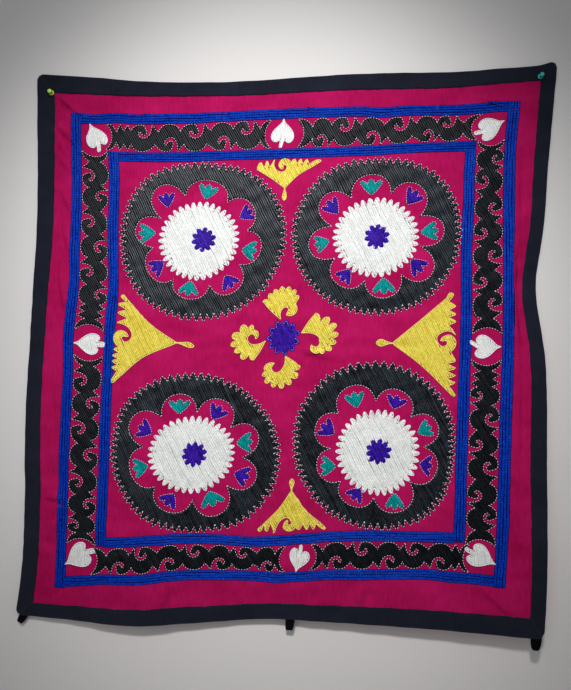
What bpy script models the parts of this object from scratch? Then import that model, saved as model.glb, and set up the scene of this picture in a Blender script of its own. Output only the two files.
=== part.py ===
"""Suzani embroidered textile, hung against a wall from two push pins.

The cloth is one magenta cotton panel. Four black strips are folded over its edges and meet
in mitred corners, and three folded loops are sewn behind the bottom strip. A push pin goes
through the strips at each top corner, with its needle in the wall.

Units are metres, +Z is up and +X is to the right of somebody who looks at the cloth, which
is along +Y. The wall's face is the plane y = 0. The origin lies on the wall, behind the
middle of the top edge.
"""

import math

import bmesh
import bpy
from mathutils import Vector

MM = 0.001

# The cloth as it was cut: across from its left edge, down from its top edge
CLOTH_WIDTH = 1050 * MM
CLOTH_HEIGHT = 1110 * MM
CORNER_RADIUS = 8 * MM

# Thicknesses, the room between pieces that touch, and where the panel's edge lies as a
# share of the strip's width
GROUND_THICK = 1.0 * MM
STRIP_THICK = 0.7 * MM
LOOP_THICK = 0.9 * MM
CLEARANCE = 0.35 * MM
MITRE_GAP = 0.4 * MM
PANEL_EDGE_SHARE = 0.16

# How fine the faces are
ACROSS_CELLS = 33
DOWN_CELLS = 35
MARGIN_SHARE = 0.04
STEP_FOR_SLOPE = 1.0 * MM

# Where the four corners hang on the wall, in millimetres: x and z
CORNERS = {
    "top_left": (-523, 18),
    "top_right": (525, 18),
    "bottom_left": (-564, -1087),
    "bottom_right": (484, -1102),
}

# How far each edge bows from the straight line between its corners, in millimetres, at
# every tenth of its length: up for the top and bottom edge, to the right for the sides
EDGE_BOW = {
    "top": (0, -8, -19, -24, -24, -19, -14, -12, -12, -6, 0),
    "bottom": (0, -4, -7, -3, 4, 12, 12, 11, 9, 5, 0),
    "left": (0, 5, 10, 12, 9, 7, 4, 5, 9, 9, 0),
    "right": (0, -7, -13, -13, -11, -6, -2, 0, 3, 4, 0),
}

# Width of the folded strips in millimetres: at their start, quarter, middle, three
# quarters and end, from left to right or from top to bottom
STRIP_WIDTH = {
    "top": (37, 29, 31, 33, 30),
    "bottom": (28, 34, 32, 36, 38),
    "left": (37, 35, 31, 33, 33),
    "right": (30, 28, 29, 32, 29),
}

# Distance from the wall in millimetres, a row for each height (share of the way down)
# and a column for each share of the width
STANDOFF_SHARES = (0, 0.12, 0.25, 0.35, 0.45, 0.6, 0.8, 1)
STANDOFF_ROWS = (
    (0.0, (5, 5, 7, 8, 8, 8, 6, 5)),
    (0.2, (6, 8, 10, 11, 11, 11, 9, 8)),
    (0.4, (8, 11, 15, 15, 14, 15, 14, 14)),
    (0.6, (9, 14, 20, 18, 16, 19, 21, 22)),
    (0.8, (10, 17, 27, 23, 18, 24, 30, 34)),
    (1.0, (12, 19, 35, 26, 19, 27, 38, 48)),
)

# Soft folds: middle across and down, direction in degrees below the horizontal, half of
# the length, half of the width and height towards the viewer, all but one in millimetres
FOLDS = (
    {"across": 112, "down": 115, "turn": 45, "long": 90, "wide": 30, "high": 4.0},
    {"across": 945, "down": 110, "turn": 132, "long": 80, "wide": 30, "high": 3.0},
    {"across": 992, "down": 435, "turn": 91, "long": 120, "wide": 24, "high": 8.0},
    {"across": 35, "down": 840, "turn": -6, "long": 70, "wide": 26, "high": -3.0},
    {"across": 560, "down": 520, "turn": 12, "long": 170, "wide": 34, "high": 3.0},
    {"across": 330, "down": 1050, "turn": 88, "long": 120, "wide": 40, "high": -3.0},
)

# The right strip is drawn in, and back towards the wall, along one stretch. The bare cloth
# between this distance and that from the edge takes the pleat.
TUCK_MIDDLE = 0.395
TUCK_SPREAD = 0.09
TUCK_FROM = 28 * MM
TUCK_REACH = 78 * MM
TUCK_IN = 16 * MM
TUCK_BACK = 7 * MM

# Push pins: place across and down, and how far the cloth is pressed towards the wall
PINS = (
    {"name": "left_pin", "across": 31 * MM, "down": 38 * MM, "color": (0.50, 0.72, 0.12)},
    {"name": "right_pin", "across": 1018 * MM, "down": 23 * MM, "color": (0.03, 0.42, 0.36)},
)
PIN_PRESS = 1.8 * MM
PIN_PRESS_SPREAD = 60 * MM
PIN_STEPS = 16
HEAD_RADIUS = 4.25 * MM
HEAD_LONG = 12.5 * MM
WAIST_RADIUS = 2.3 * MM
FLANGE_RADIUS = 5.45 * MM
NEEDLE_RADIUS = 0.55 * MM
NEEDLE_REACH = 10.5 * MM
NEEDLE_POINT = 2.0 * MM
NEEDLE_IN_HEAD = 3.5 * MM
NEEDLE_STEPS = 10
NEEDLE_ROOM = 0.3 * MM
CUTTER_LONG = 30 * MM

# Hanging loops on the bottom edge: place across, lean to the left in degrees, length
# below the edge, width where it leaves the edge and width of its tip
LOOPS = (
    {"name": "loop_left", "across": 15.5, "lean": 25, "long": 18, "root": 16, "tip": 9},
    {"name": "loop_centre", "across": 561, "lean": 0, "long": 22, "root": 18, "tip": 11},
    {"name": "loop_right", "across": 1036, "lean": 1, "long": 22, "root": 20, "tip": 8},
)
LOOP_FOLD_RADIUS = 0.8 * MM
LOOP_BEHIND_STRIP = 12 * MM
LOOP_STEPS = 5
LOOP_FOLD_STEPS = 4

COLOURS = {
    "ground_panel": (0.47, 0.012, 0.11),
    "binding": (0.010, 0.012, 0.018),
    "loop": (0.008, 0.009, 0.014),
    "needle": (0.55, 0.55, 0.56),
}


def smooth_through(places, values, where):
    """Read a smooth curve through the values given at the places."""
    where = min(max(where, places[0]), places[-1])
    i = 0
    while where > places[i + 1]:
        i += 1
    before, after = max(i - 1, 0), min(i + 2, len(places) - 1)
    gap = places[i + 1] - places[i]
    start_slope = (values[i + 1] - values[before]) / (places[i + 1] - places[before])
    end_slope = (values[after] - values[i]) / (places[after] - places[i])
    t = (where - places[i]) / gap
    return ((2 * t**3 - 3 * t**2 + 1) * values[i] + (t**3 - 2 * t**2 + t) * gap * start_slope
            + (3 * t**2 - 2 * t**3) * values[i + 1] + (t**3 - t**2) * gap * end_slope)


def even_places(count):
    """Evenly spread places from 0 to 1."""
    return [i / (count - 1) for i in range(count)]


def edge_bow(side, share):
    """How far an edge bows from its straight line, in metres."""
    row = EDGE_BOW[side]
    return smooth_through(even_places(len(row)), row, share) * MM


def strip_width(side, share):
    """Width of a folded strip along its side, in metres."""
    row = STRIP_WIDTH[side]
    return smooth_through(even_places(len(row)), row, share) * MM


def bump(distance, spread):
    """A soft bell that is 1 at its middle."""
    return math.exp(-(distance / spread) ** 2)


def fold_height(across, down):
    """Sum of the soft folds, in metres towards the viewer."""
    total = 0.0
    for fold in FOLDS:
        turn = math.radians(fold["turn"])
        right, below = across / MM - fold["across"], down / MM - fold["down"]
        along = right * math.cos(turn) + below * math.sin(turn)
        aside = below * math.cos(turn) - right * math.sin(turn)
        total += fold["high"] * bump(along, fold["long"]) * bump(aside, fold["wide"])
    return total * MM


def tuck(across, down):
    """Share of the tuck in the right edge that is felt at this place."""
    share = (TUCK_REACH - (CLOTH_WIDTH - across)) / (TUCK_REACH - TUCK_FROM)
    share = min(max(share, 0.0), 1.0)
    reach = share * share * (3 - 2 * share)
    return reach * bump(down / CLOTH_HEIGHT - TUCK_MIDDLE, TUCK_SPREAD)


def standoff(across, down):
    """Distance of the panel's middle layer from the wall."""
    columns = [smooth_through(STANDOFF_SHARES, row, across / CLOTH_WIDTH) for _, row in STANDOFF_ROWS]
    heights = [height for height, _ in STANDOFF_ROWS]
    away = smooth_through(heights, columns, down / CLOTH_HEIGHT) * MM
    for pin in PINS:
        distance = math.hypot(across - pin["across"], down - pin["down"])
        away -= PIN_PRESS * bump(distance, PIN_PRESS_SPREAD)
    return away + fold_height(across, down) - TUCK_BACK * tuck(across, down)


def sheet_point(across, down):
    """Place on the middle layer of the hung panel."""
    u, v = across / CLOTH_WIDTH, down / CLOTH_HEIGHT
    corner = {name: Vector((x, 0, z)) * MM for name, (x, z) in CORNERS.items()}
    upper = corner["top_left"].lerp(corner["top_right"], u)
    lower = corner["bottom_left"].lerp(corner["bottom_right"], u)
    point = upper.lerp(lower, v)
    point.z += (1 - v) * edge_bow("top", u) + v * edge_bow("bottom", u)
    point.x += (1 - u) * edge_bow("left", v) + u * edge_bow("right", v)
    point.x -= TUCK_IN * tuck(across, down)
    point.y = -standoff(across, down)
    return point


def sheet_frame(across, down):
    """Point, rightward, downward and outward directions of the hung panel."""
    left = sheet_point(max(across - STEP_FOR_SLOPE, 0), down)
    right = sheet_point(min(across + STEP_FOR_SLOPE, CLOTH_WIDTH), down)
    above = sheet_point(across, max(down - STEP_FOR_SLOPE, 0))
    below = sheet_point(across, min(down + STEP_FOR_SLOPE, CLOTH_HEIGHT))
    rightward = (right - left).normalized()
    downward = (below - above).normalized()
    return sheet_point(across, down), rightward, downward, downward.cross(rightward)


def hang(across, down, lift=0.0):
    """Place of a point of the cloth, lifted off the panel's middle towards the viewer."""
    point, _, _, outward = sheet_frame(across, down)
    return point + outward * lift


def spread_one_way(share, first_width, last_width, whole):
    """Turn a share across the grid into a distance, with a strip at either end."""
    if share < MARGIN_SHARE:
        return first_width * share / MARGIN_SHARE
    if share > 1 - MARGIN_SHARE:
        return whole - last_width * (1 - share) / MARGIN_SHARE
    inner = (share - MARGIN_SHARE) / (1 - 2 * MARGIN_SHARE)
    return first_width + inner * (whole - first_width - last_width)


def inner_share(share):
    """Share along a strip, counted between the inner corners."""
    return min(max((share - MARGIN_SHARE) / (1 - 2 * MARGIN_SHARE), 0.0), 1.0)


def grid_place(a, b):
    """Distance across and down of a place in the grid that panel and strips share."""
    across = spread_one_way(a, strip_width("left", inner_share(b)), strip_width("right", inner_share(b)), CLOTH_WIDTH)
    down = spread_one_way(b, strip_width("top", inner_share(a)), strip_width("bottom", inner_share(a)), CLOTH_HEIGHT)
    return across, down


def inner_lines(cells):
    """Grid lines between the inner edges of two strips."""
    return [MARGIN_SHARE + (1 - 2 * MARGIN_SHARE) * i / cells for i in range(cells + 1)]


def panel_lines(cells):
    """Grid lines of the panel, whose edge lies inside the strips."""
    edge = MARGIN_SHARE * PANEL_EDGE_SHARE
    return [edge] + inner_lines(cells) + [1 - edge]


def new_collection(name):
    """A new collection in the scene."""
    collection = bpy.data.collections.new(name)
    bpy.context.scene.collection.children.link(collection)
    return collection


def make_material(name, colour, roughness, metallic=0.0):
    """A plain Principled material."""
    material = bpy.data.materials.new(name)
    material.use_nodes = True
    shader = material.node_tree.nodes["Principled BSDF"]
    shader.inputs["Base Color"].default_value = (*colour, 1.0)
    shader.inputs["Roughness"].default_value = roughness
    shader.inputs["Metallic"].default_value = metallic
    material.diffuse_color = (*colour, 1.0)
    return material


def add_object(name, mesh, collection, material=None):
    """Put a mesh into the collection as a named object."""
    thing = bpy.data.objects.new(name, mesh)
    collection.objects.link(thing)
    if material:
        mesh.materials.append(material)
    return thing


def mesh_from_grid(name, columns, rows, place):
    """A grid mesh whose point in column i and row j goes to place(i, j)."""
    grid = bmesh.new()
    bmesh.ops.create_grid(grid, x_segments=columns - 1, y_segments=rows - 1, size=0.5)
    grid.verts.ensure_lookup_table()
    for vertex in grid.verts:
        i = round((vertex.co.x + 0.5) * (columns - 1))
        j = round((vertex.co.y + 0.5) * (rows - 1))
        vertex.co = place(i, j)
    bmesh.ops.triangulate(grid, faces=grid.faces, quad_method="SHORT_EDGE")
    mesh = bpy.data.meshes.new(name)
    grid.to_mesh(mesh)
    grid.free()
    return mesh


def thicken(thing, thickness):
    """Give an open surface its thickness, half to each side."""
    wall = thing.modifiers.new("thickness", "SOLIDIFY")
    wall.thickness = thickness
    wall.offset = 0.0


def make_panel(collection):
    """The magenta cotton panel, its edges inside the folded strips."""
    columns, rows = panel_lines(ACROSS_CELLS), panel_lines(DOWN_CELLS)

    def place(i, j):
        return hang(*grid_place(columns[i], rows[j]))

    mesh = mesh_from_grid("ground_panel", len(columns), len(rows), place)
    mesh.shade_smooth()
    panel = add_object("ground_panel", mesh, collection, make_material("magenta cotton", COLOURS["ground_panel"], 0.85))
    thicken(panel, GROUND_THICK)
    return panel


def strip_section():
    """Section of a folded strip: distance from the fold's edge as a share, a fixed part and the lift."""
    half_gap = GROUND_THICK / 2 + CLEARANCE
    radius = half_gap + STRIP_THICK / 2
    section = [(1.0, 0.0, radius), (PANEL_EDGE_SHARE, 0.0, radius)]
    for degrees in (90, 45, 0, -45, -90):
        turn = math.radians(degrees)
        fixed = STRIP_THICK / 2 + radius * (1 - math.cos(turn))
        section.append((0.0, fixed, radius * math.sin(turn)))
    section += [(PANEL_EDGE_SHARE, 0.0, -radius), (1.0, 0.0, -radius)]
    return section


def round_off(from_corner):
    """How far the rounded corner draws the edge in, this far from the corner."""
    if from_corner >= CORNER_RADIUS:
        return 0.0
    return CORNER_RADIUS - math.sqrt(CORNER_RADIUS**2 - (CORNER_RADIUS - from_corner) ** 2)


def make_strip(side, collection, material):
    """One black strip, folded over the panel's edge, with a mitre at each end."""
    level = side in ("top", "bottom")
    length = CLOTH_WIDTH if level else CLOTH_HEIGHT
    start_side, end_side = ("left", "right") if level else ("top", "bottom")
    near_start = 0.0 if side in ("top", "left") else 1.0
    inner_edge = MARGIN_SHARE if side in ("top", "left") else 1 - MARGIN_SHARE
    section = strip_section()
    drawn_in = CORNER_RADIUS * (1 - math.sqrt(0.5))
    end_steps = (0.0, 3 * MM, 6 * MM)
    lines = inner_lines(ACROSS_CELLS if level else DOWN_CELLS)
    stations = [("start", step) for step in end_steps] + [("line", a) for a in lines[1:-1]]
    stations += [("end", step) for step in reversed(end_steps)]

    def along_and_depth(kind, value, share, fixed):
        if kind == "line":
            across, down = grid_place(value, inner_edge) if level else grid_place(inner_edge, value)
            along = across if level else down
            return along, strip_width(side, inner_share(value)) * share + fixed
        width = strip_width(side, 0.0 if kind == "start" else 1.0)
        other = strip_width(start_side if kind == "start" else end_side, near_start)
        depth = width * share + fixed
        edge = round_off(drawn_in + value)
        depth += edge * (1 - depth / width)
        from_corner = depth * other / width + MITRE_GAP / 2 + value
        return (from_corner if kind == "start" else length - from_corner), depth

    def place(i, j):
        share, fixed, lift = section[j]
        along, depth = along_and_depth(*stations[i], share, fixed)
        if side == "top":
            return hang(along, depth, lift)
        if side == "bottom":
            return hang(along, CLOTH_HEIGHT - depth, lift)
        if side == "left":
            return hang(depth, along, lift)
        return hang(CLOTH_WIDTH - depth, along, lift)

    name = "binding_" + side
    mesh = mesh_from_grid(name, len(stations), len(section), place)
    mesh.shade_smooth()
    strip = add_object(name, mesh, collection, material)
    thicken(strip, STRIP_THICK)
    return strip


def make_loop(loop, collection, material):
    """A ribbon folded in two, its ends sewn behind the bottom strip."""
    point, rightward, downward, outward = sheet_frame(loop["across"] * MM, CLOTH_HEIGHT)
    lean = math.radians(loop["lean"])
    hangs = downward * math.cos(lean) - rightward * math.sin(lean)
    aside = rightward * math.cos(lean) + downward * math.sin(lean)
    strip_back = GROUND_THICK / 2 + CLEARANCE + STRIP_THICK
    front = -(strip_back + 2 * CLEARANCE + LOOP_THICK / 2)
    long = loop["long"] * MM
    straight = [-LOOP_BEHIND_STRIP + (long - LOOP_FOLD_RADIUS + LOOP_BEHIND_STRIP) * i / LOOP_STEPS
                for i in range(LOOP_STEPS + 1)]
    path = [(below, front) for below in straight]
    for i in range(1, LOOP_FOLD_STEPS):
        turn = math.pi * i / LOOP_FOLD_STEPS
        below = straight[-1] + LOOP_FOLD_RADIUS * math.sin(turn)
        path.append((below, front - LOOP_FOLD_RADIUS * (1 - math.cos(turn))))
    path += [(below, front - 2 * LOOP_FOLD_RADIUS) for below in reversed(straight)]
    across_shares = (-0.5, -0.25, 0.25, 0.5)

    def place(i, j):
        below, lift = path[i]
        narrowing = max(below, 0.0) / long
        round_end = math.sqrt(max(1 - narrowing**2, 0.0))
        width = (loop["tip"] + (loop["root"] - loop["tip"]) * round_end) * MM
        return point + hangs * below + aside * width * across_shares[j] + outward * lift

    mesh = mesh_from_grid(loop["name"], len(path), len(across_shares), place)
    mesh.shade_smooth()
    ribbon = add_object(loop["name"], mesh, collection, material)
    thicken(ribbon, LOOP_THICK)
    return ribbon


def turned(name, profile, steps, collection, material):
    """A turned solid about +Z from a profile of radius and height, top to bottom."""
    outline = bmesh.new()
    points = [outline.verts.new((radius, 0, height)) for radius, height in profile]
    for first, second in zip(points, points[1:]):
        outline.edges.new((first, second))
    mesh = bpy.data.meshes.new(name)
    outline.to_mesh(mesh)
    outline.free()
    thing = add_object(name, mesh, collection, material)
    screw = thing.modifiers.new("turned", "SCREW")
    screw.steps = screw.render_steps = steps
    screw.use_merge_vertices = True
    screw.merge_threshold = 0.01 * MM
    screw.use_smooth_shade = False
    return thing


def head_profile():
    """Radius and height of the push pin's plastic head, from its top down its outer side."""
    rows = (
        (HEAD_RADIUS, 0.0, 1.0),
        (HEAD_RADIUS, 0.84, 1.0),
        (HEAD_RADIUS, 1.0, 0.95),
        (HEAD_RADIUS, 1.0, 0.82),
        (HEAD_RADIUS, 0.86, 0.75),
        (WAIST_RADIUS, 1.14, 0.65),
        (WAIST_RADIUS, 1.0, 0.48),
        (WAIST_RADIUS, 1.1, 0.30),
        (FLANGE_RADIUS, 0.62, 0.2),
        (FLANGE_RADIUS, 0.95, 0.15),
        (FLANGE_RADIUS, 1.0, 0.11),
        (FLANGE_RADIUS, 1.0, 0.04),
        (FLANGE_RADIUS, 0.94, 0.0),
    )
    profile = [(share * radius, height * HEAD_LONG) for radius, share, height in rows]
    bore = NEEDLE_RADIUS + NEEDLE_ROOM
    deep = NEEDLE_IN_HEAD + NEEDLE_ROOM
    return profile + [(bore, 0.0), (bore, deep), (0.0, deep)]


def needle_profile():
    """Radius and height of the steel needle, from its blunt end down to its point."""
    return [(0.0, NEEDLE_IN_HEAD), (NEEDLE_RADIUS, NEEDLE_IN_HEAD),
            (NEEDLE_RADIUS, NEEDLE_POINT - NEEDLE_REACH), (0.0, -NEEDLE_REACH)]


def make_pin(pin, collection, cutters, panel, strip):
    """A push pin through strip and panel, square to the cloth, and the hole that it makes."""
    point, _, _, outward = sheet_frame(pin["across"], pin["down"])
    strip_front = GROUND_THICK / 2 + CLEARANCE + STRIP_THICK
    seat = point + outward * (strip_front + NEEDLE_ROOM)
    turn = outward.to_track_quat("Z", "Y").to_euler()
    plastic = make_material(pin["name"] + " plastic", pin["color"], 0.25)
    steel = make_material(pin["name"] + " steel", COLOURS["needle"], 0.3, 1.0)
    head = turned(pin["name"] + "_head", head_profile(), PIN_STEPS, collection, plastic)
    needle = turned(pin["name"] + "_needle", needle_profile(), NEEDLE_STEPS, collection, steel)
    for piece in (head, needle):
        piece.location = seat
        piece.rotation_euler = turn

    shaft = bmesh.new()
    bmesh.ops.create_cone(shaft, cap_ends=True, segments=NEEDLE_STEPS, radius1=NEEDLE_RADIUS + NEEDLE_ROOM,
                          radius2=NEEDLE_RADIUS + NEEDLE_ROOM, depth=CUTTER_LONG)
    mesh = bpy.data.meshes.new(pin["name"] + "_cutter")
    shaft.to_mesh(mesh)
    shaft.free()
    cutter = add_object(pin["name"] + "_cutter", mesh, cutters)
    cutter.location = seat
    cutter.rotation_euler = turn
    cutter.hide_render = True
    cutter.display_type = "WIRE"
    for cloth in (panel, strip):
        hole = cloth.modifiers.new(pin["name"] + " hole", "BOOLEAN")
        hole.operation = "DIFFERENCE"
        hole.solver = "EXACT"
        hole.object = cutter


def main():
    """Build every piece of the hung textile."""
    for thing in list(bpy.data.objects):
        bpy.data.objects.remove(thing, do_unlink=True)
    textile = new_collection("suzani_embroidered_textile")
    cutters = new_collection("cutters")
    panel = make_panel(textile)
    black = make_material("black cotton", COLOURS["binding"], 0.9)
    strips = {side: make_strip(side, textile, black) for side in ("top", "bottom", "left", "right")}
    ribbon = make_material("black ribbon", COLOURS["loop"], 0.8)
    for loop in LOOPS:
        make_loop(loop, textile, ribbon)
    for pin, side in zip(PINS, ("left", "top")):
        make_pin(pin, textile, cutters, panel, strips[side])


main()
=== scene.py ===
"""Looks of the hung suzani embroidered textile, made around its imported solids.

The cloth's own places are flat millimetres, across from its left edge and down from its top
edge, and HungCloth turns them into metres in the frame of the solids: +Z up, +X to the right,
the wall at y = 0. The ground, the folded border and the loops are finer sheets on the folds of
the solids. The embroidery is real thread: laid fills, chain rows, cords and running stitches.
"""

import logging
import math
from dataclasses import dataclass, field
from enum import Enum

import bmesh
import bpy
import numpy as np
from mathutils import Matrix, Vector

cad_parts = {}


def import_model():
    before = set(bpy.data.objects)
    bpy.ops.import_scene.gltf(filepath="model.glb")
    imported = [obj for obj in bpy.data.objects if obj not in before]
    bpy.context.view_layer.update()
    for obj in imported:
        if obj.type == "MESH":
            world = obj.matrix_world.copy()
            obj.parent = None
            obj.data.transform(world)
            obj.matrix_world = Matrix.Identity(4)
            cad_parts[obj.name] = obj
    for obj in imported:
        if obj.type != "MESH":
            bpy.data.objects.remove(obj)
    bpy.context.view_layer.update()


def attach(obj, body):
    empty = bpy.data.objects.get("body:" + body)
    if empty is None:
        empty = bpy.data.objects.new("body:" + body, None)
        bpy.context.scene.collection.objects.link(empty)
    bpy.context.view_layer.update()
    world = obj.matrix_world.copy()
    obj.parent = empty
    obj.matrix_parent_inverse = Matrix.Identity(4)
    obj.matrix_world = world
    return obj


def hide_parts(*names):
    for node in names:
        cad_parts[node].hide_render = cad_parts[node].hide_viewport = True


MM = 0.001
LOG = logging.getLogger("suzani")


class Side(Enum):
    """A side of the square that the border runs round, in clockwise order."""

    TOP = "top"
    RIGHT = "right"
    BOTTOM = "bottom"
    LEFT = "left"


class Edge(Enum):
    """The outer or the inner edge of the scroll border."""

    OUTER = 1
    INNER = -1


def smooth_through(places, values, where) -> np.ndarray:
    """Read a smooth curve through values given at rising places.

    Args:
        places: Rising places of the values.
        values: One value for each place, or one row of values for each.
        where: Places to read, one for each column where the values are rows.

    Returns:
        The values read.
    """
    places, values = np.asarray(places, float), np.asarray(values, float)
    where = np.clip(np.asarray(where, float), places[0], places[-1])
    i = np.clip(np.searchsorted(places, where, side="left") - 1, 0, len(places) - 2)
    before, after = np.maximum(i - 1, 0), np.minimum(i + 2, len(places) - 1)

    def pick(row: np.ndarray) -> np.ndarray:
        """Values of one row index for each place."""
        return values[row] if values.ndim == 1 else values[row, np.arange(len(where))]

    gap = places[i + 1] - places[i]
    start_slope = (pick(i + 1) - pick(before)) / (places[i + 1] - places[before])
    end_slope = (pick(after) - pick(i)) / (places[after] - places[i])
    t = (where - places[i]) / gap
    return ((2 * t**3 - 3 * t**2 + 1) * pick(i) + (t**3 - 2 * t**2 + t) * gap * start_slope
            + (3 * t**2 - 2 * t**3) * pick(i + 1) + (t**3 - t**2) * gap * end_slope)


def curve_through(points, step: float = 2.5) -> np.ndarray:
    """A smooth open line through points, with a place about every step.

    Args:
        points: Points of the line, from its start to its end.
        step: Distance between the places returned.

    Returns:
        An array of points.
    """
    points = np.asarray(points, float)
    length = np.concatenate(([0.0], np.cumsum(np.linalg.norm(np.diff(points, axis=0), axis=1))))
    where = np.linspace(0, length[-1], max(int(length[-1] / step), 3) + 1)
    return np.column_stack([smooth_through(length, points[:, k], where) for k in (0, 1)])


def reach_along(line: np.ndarray) -> np.ndarray:
    """Distance along a line at each of its points."""
    return np.concatenate(([0.0], np.cumsum(np.linalg.norm(np.diff(line, axis=0), axis=1))))


def closed_up(path: np.ndarray, closed: bool) -> np.ndarray:
    """The path, with its first point again at the end where it is closed."""
    return np.vstack((path, path[:1])) if closed else path


def bump(distance, spread) -> np.ndarray:
    """A soft bell that is 1 at its middle."""
    return np.exp(-(np.asarray(distance) / spread) ** 2)


@dataclass(frozen=True)
class Fold:
    """A soft fold or crease: its middle, its turn in degrees, half sizes and height in mm."""

    across: float
    down: float
    turn: float
    long: float
    wide: float
    high: float


@dataclass
class HungCloth:
    """The surface of the cloth as it hangs: flat millimetres in, metres out."""

    width: float = 1050.0
    height: float = 1110.0
    corners: dict = field(default_factory=lambda: {
        "top_left": (-523, 18), "top_right": (525, 18),
        "bottom_left": (-564, -1087), "bottom_right": (484, -1102)})
    # Mostly rounded output of a scratch script that turned picture places, read by eye, into cloth places.
    edge_bow: dict = field(default_factory=lambda: {
        Side.TOP: (0, -8, -19, -24, -24, -19, -14, -12, -12, -6, 0),
        Side.BOTTOM: (0, -4, -7, -3, 4, 12, 12, 11, 9, 5, 0),
        Side.LEFT: (0, 5, 10, 12, 9, 7, 4, 5, 9, 9, 0),
        Side.RIGHT: (0, -7, -13, -13, -11, -6, -2, 0, 3, 4, 0)})
    standoff_shares: tuple = (0, 0.12, 0.25, 0.35, 0.45, 0.6, 0.8, 1)
    standoff_rows: tuple = (
        (0.0, (5, 5, 7, 8, 8, 8, 6, 5)),
        (0.2, (6, 8, 10, 11, 11, 11, 9, 8)),
        (0.4, (8, 11, 15, 15, 14, 15, 14, 14)),
        (0.6, (9, 14, 20, 18, 16, 19, 21, 22)),
        (0.8, (10, 17, 27, 23, 18, 24, 30, 34)),
        (1.0, (12, 19, 35, 26, 19, 27, 38, 48)))
    folds: tuple = (
        Fold(112, 115, 45, 90, 30, 4.0), Fold(945, 110, 132, 80, 30, 3.0),
        Fold(992, 435, 91, 120, 24, 8.0), Fold(35, 840, -6, 70, 26, -3.0),
        Fold(560, 520, 12, 170, 34, 3.0), Fold(330, 1050, 88, 120, 40, -3.0))
    tuck_middle: float = 0.395
    tuck_spread: float = 0.09
    tuck_from: float = 28.0
    tuck_reach: float = 78.0
    tuck_in: float = 16.0
    tuck_back: float = 7.0
    pins: tuple = ((31.0, 38.0), (1018.0, 23.0))
    pin_press: float = 1.8
    pin_press_spread: float = 60.0
    ear_high: float = 7.0
    ear_spread: float = 27.0
    creases: tuple = (
        Fold(66, 60, 38, 26, 8.8, 7.5), Fold(56, 72, 38, 20, 7.5, -2.8), Fold(54, 116, 44, 26, 8.8, 6.6),
        Fold(60, 131, 46, 24, 7.5, -3), Fold(56, 155, 46, 22, 8.8, 5.7), Fold(60, 186, 56, 24, 8.8, 7.5),
        Fold(67, 199, 58, 24, 7.5, -3.6), Fold(55, 234, 50, 22, 8.8, -3.2), Fold(62, 256, 62, 24, 8.8, 6.3),
        Fold(58, 330, 72, 36, 10, -3.2), Fold(66, 345, 72, 36, 8.8, 4.5), Fold(64, 440, 80, 40, 10, 5.4),
        Fold(58, 866, 4, 17, 6.5, 6), Fold(60, 879, 4, 17, 6.5, -3.6), Fold(58, 962, 8, 18, 10, -3.6),
        Fold(56, 700, 84, 60, 10, -3.6), Fold(1002, 388, 62, 24, 8.8, -3.6), Fold
            (1004, 470, 90, 60, 8.8, -3.6),
        Fold(992, 480, 90, 50, 8.8, 6), Fold(1000, 250, 88, 60, 10, -3.6), Fold
            (1002, 700, 91, 80, 10, -3.4),
        Fold(574, 578, 18, 28, 7.5, -3.6), Fold(600, 570, 16, 32, 8.8, 5.1), Fold
            (400, 552, 0, 120, 8.8, -1.7),
        Fold(700, 556, -1, 130, 10, -1.6), Fold(300, 1054, 80, 24, 8.8, 6.6), Fold
            (318, 1058, 84, 24, 8.8, -3.6),
        Fold(690, 1052, 84, 24, 10, 6.3), Fold(707, 1056, 88, 24, 8.8, -3.6), Fold
            (230, 56, 92, 20, 8.8, 4.8),
        Fold(390, 54, 96, 20, 8.8, -3.4), Fold(560, 52, 84, 20, 8.8, 4.8), Fold(820, 50, 84, 22, 10, 5.4),
        Fold(905, 52, 20, 38, 8.8, -3.6), Fold(925, 64, 24, 36, 8.8, 6.3), Fold
            (314, 500, 90, 26, 7.5, -3.6),
        Fold(331, 560, 88, 24, 7.5, -3.6), Fold(312, 572, 92, 22, 7.5, -3.2), Fold
            (960, 1050, 40, 42, 11.2, 6))
    ripple_seed: int = 5
    ripple_count: int = 16
    ripple_high: float = 0.15

    def __post_init__(self) -> None:
        """Draw the fixed set of fine ripples."""
        draw = np.random.default_rng(self.ripple_seed)
        self.ripples = [(draw.uniform(0, math.pi), draw.uniform(26, 95), draw.uniform(0, 2 * math.pi))
                        for _ in range(self.ripple_count)]

    def edge_offset(self, side: Side, share) -> np.ndarray:
        """How far an edge bows from its straight line, in millimetres."""
        row = self.edge_bow[side]
        return smooth_through(np.linspace(0, 1, len(row)), row, share)

    @staticmethod
    def fold_height(folds: tuple, across: np.ndarray, down: np.ndarray, steep: float = 1.0) -> np.ndarray:
        """Sum of folds in millimetres towards the viewer, steep times as wide on their lower side."""
        total = np.zeros_like(across)
        for one in folds:
            turn = math.radians(one.turn)
            right, below = across - one.across, down - one.down
            along = right * math.cos(turn) + below * math.sin(turn)
            aside = below * math.cos(turn) - right * math.sin(turn)
            wide = np.where(aside > 0, one.wide * steep, one.wide)
            total += one.high * bump(along, one.long) * bump(aside, wide)
        return total

    def tuck(self, across: np.ndarray, down: np.ndarray) -> np.ndarray:
        """Share of the tuck in the right edge that is felt."""
        share = (self.tuck_reach - (self.width - across)) / (self.tuck_reach - self.tuck_from)
        share = np.clip(share, 0, 1)
        return share**2 * (3 - 2 * share) * bump(down / self.height - self.tuck_middle, self.tuck_spread)

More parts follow.
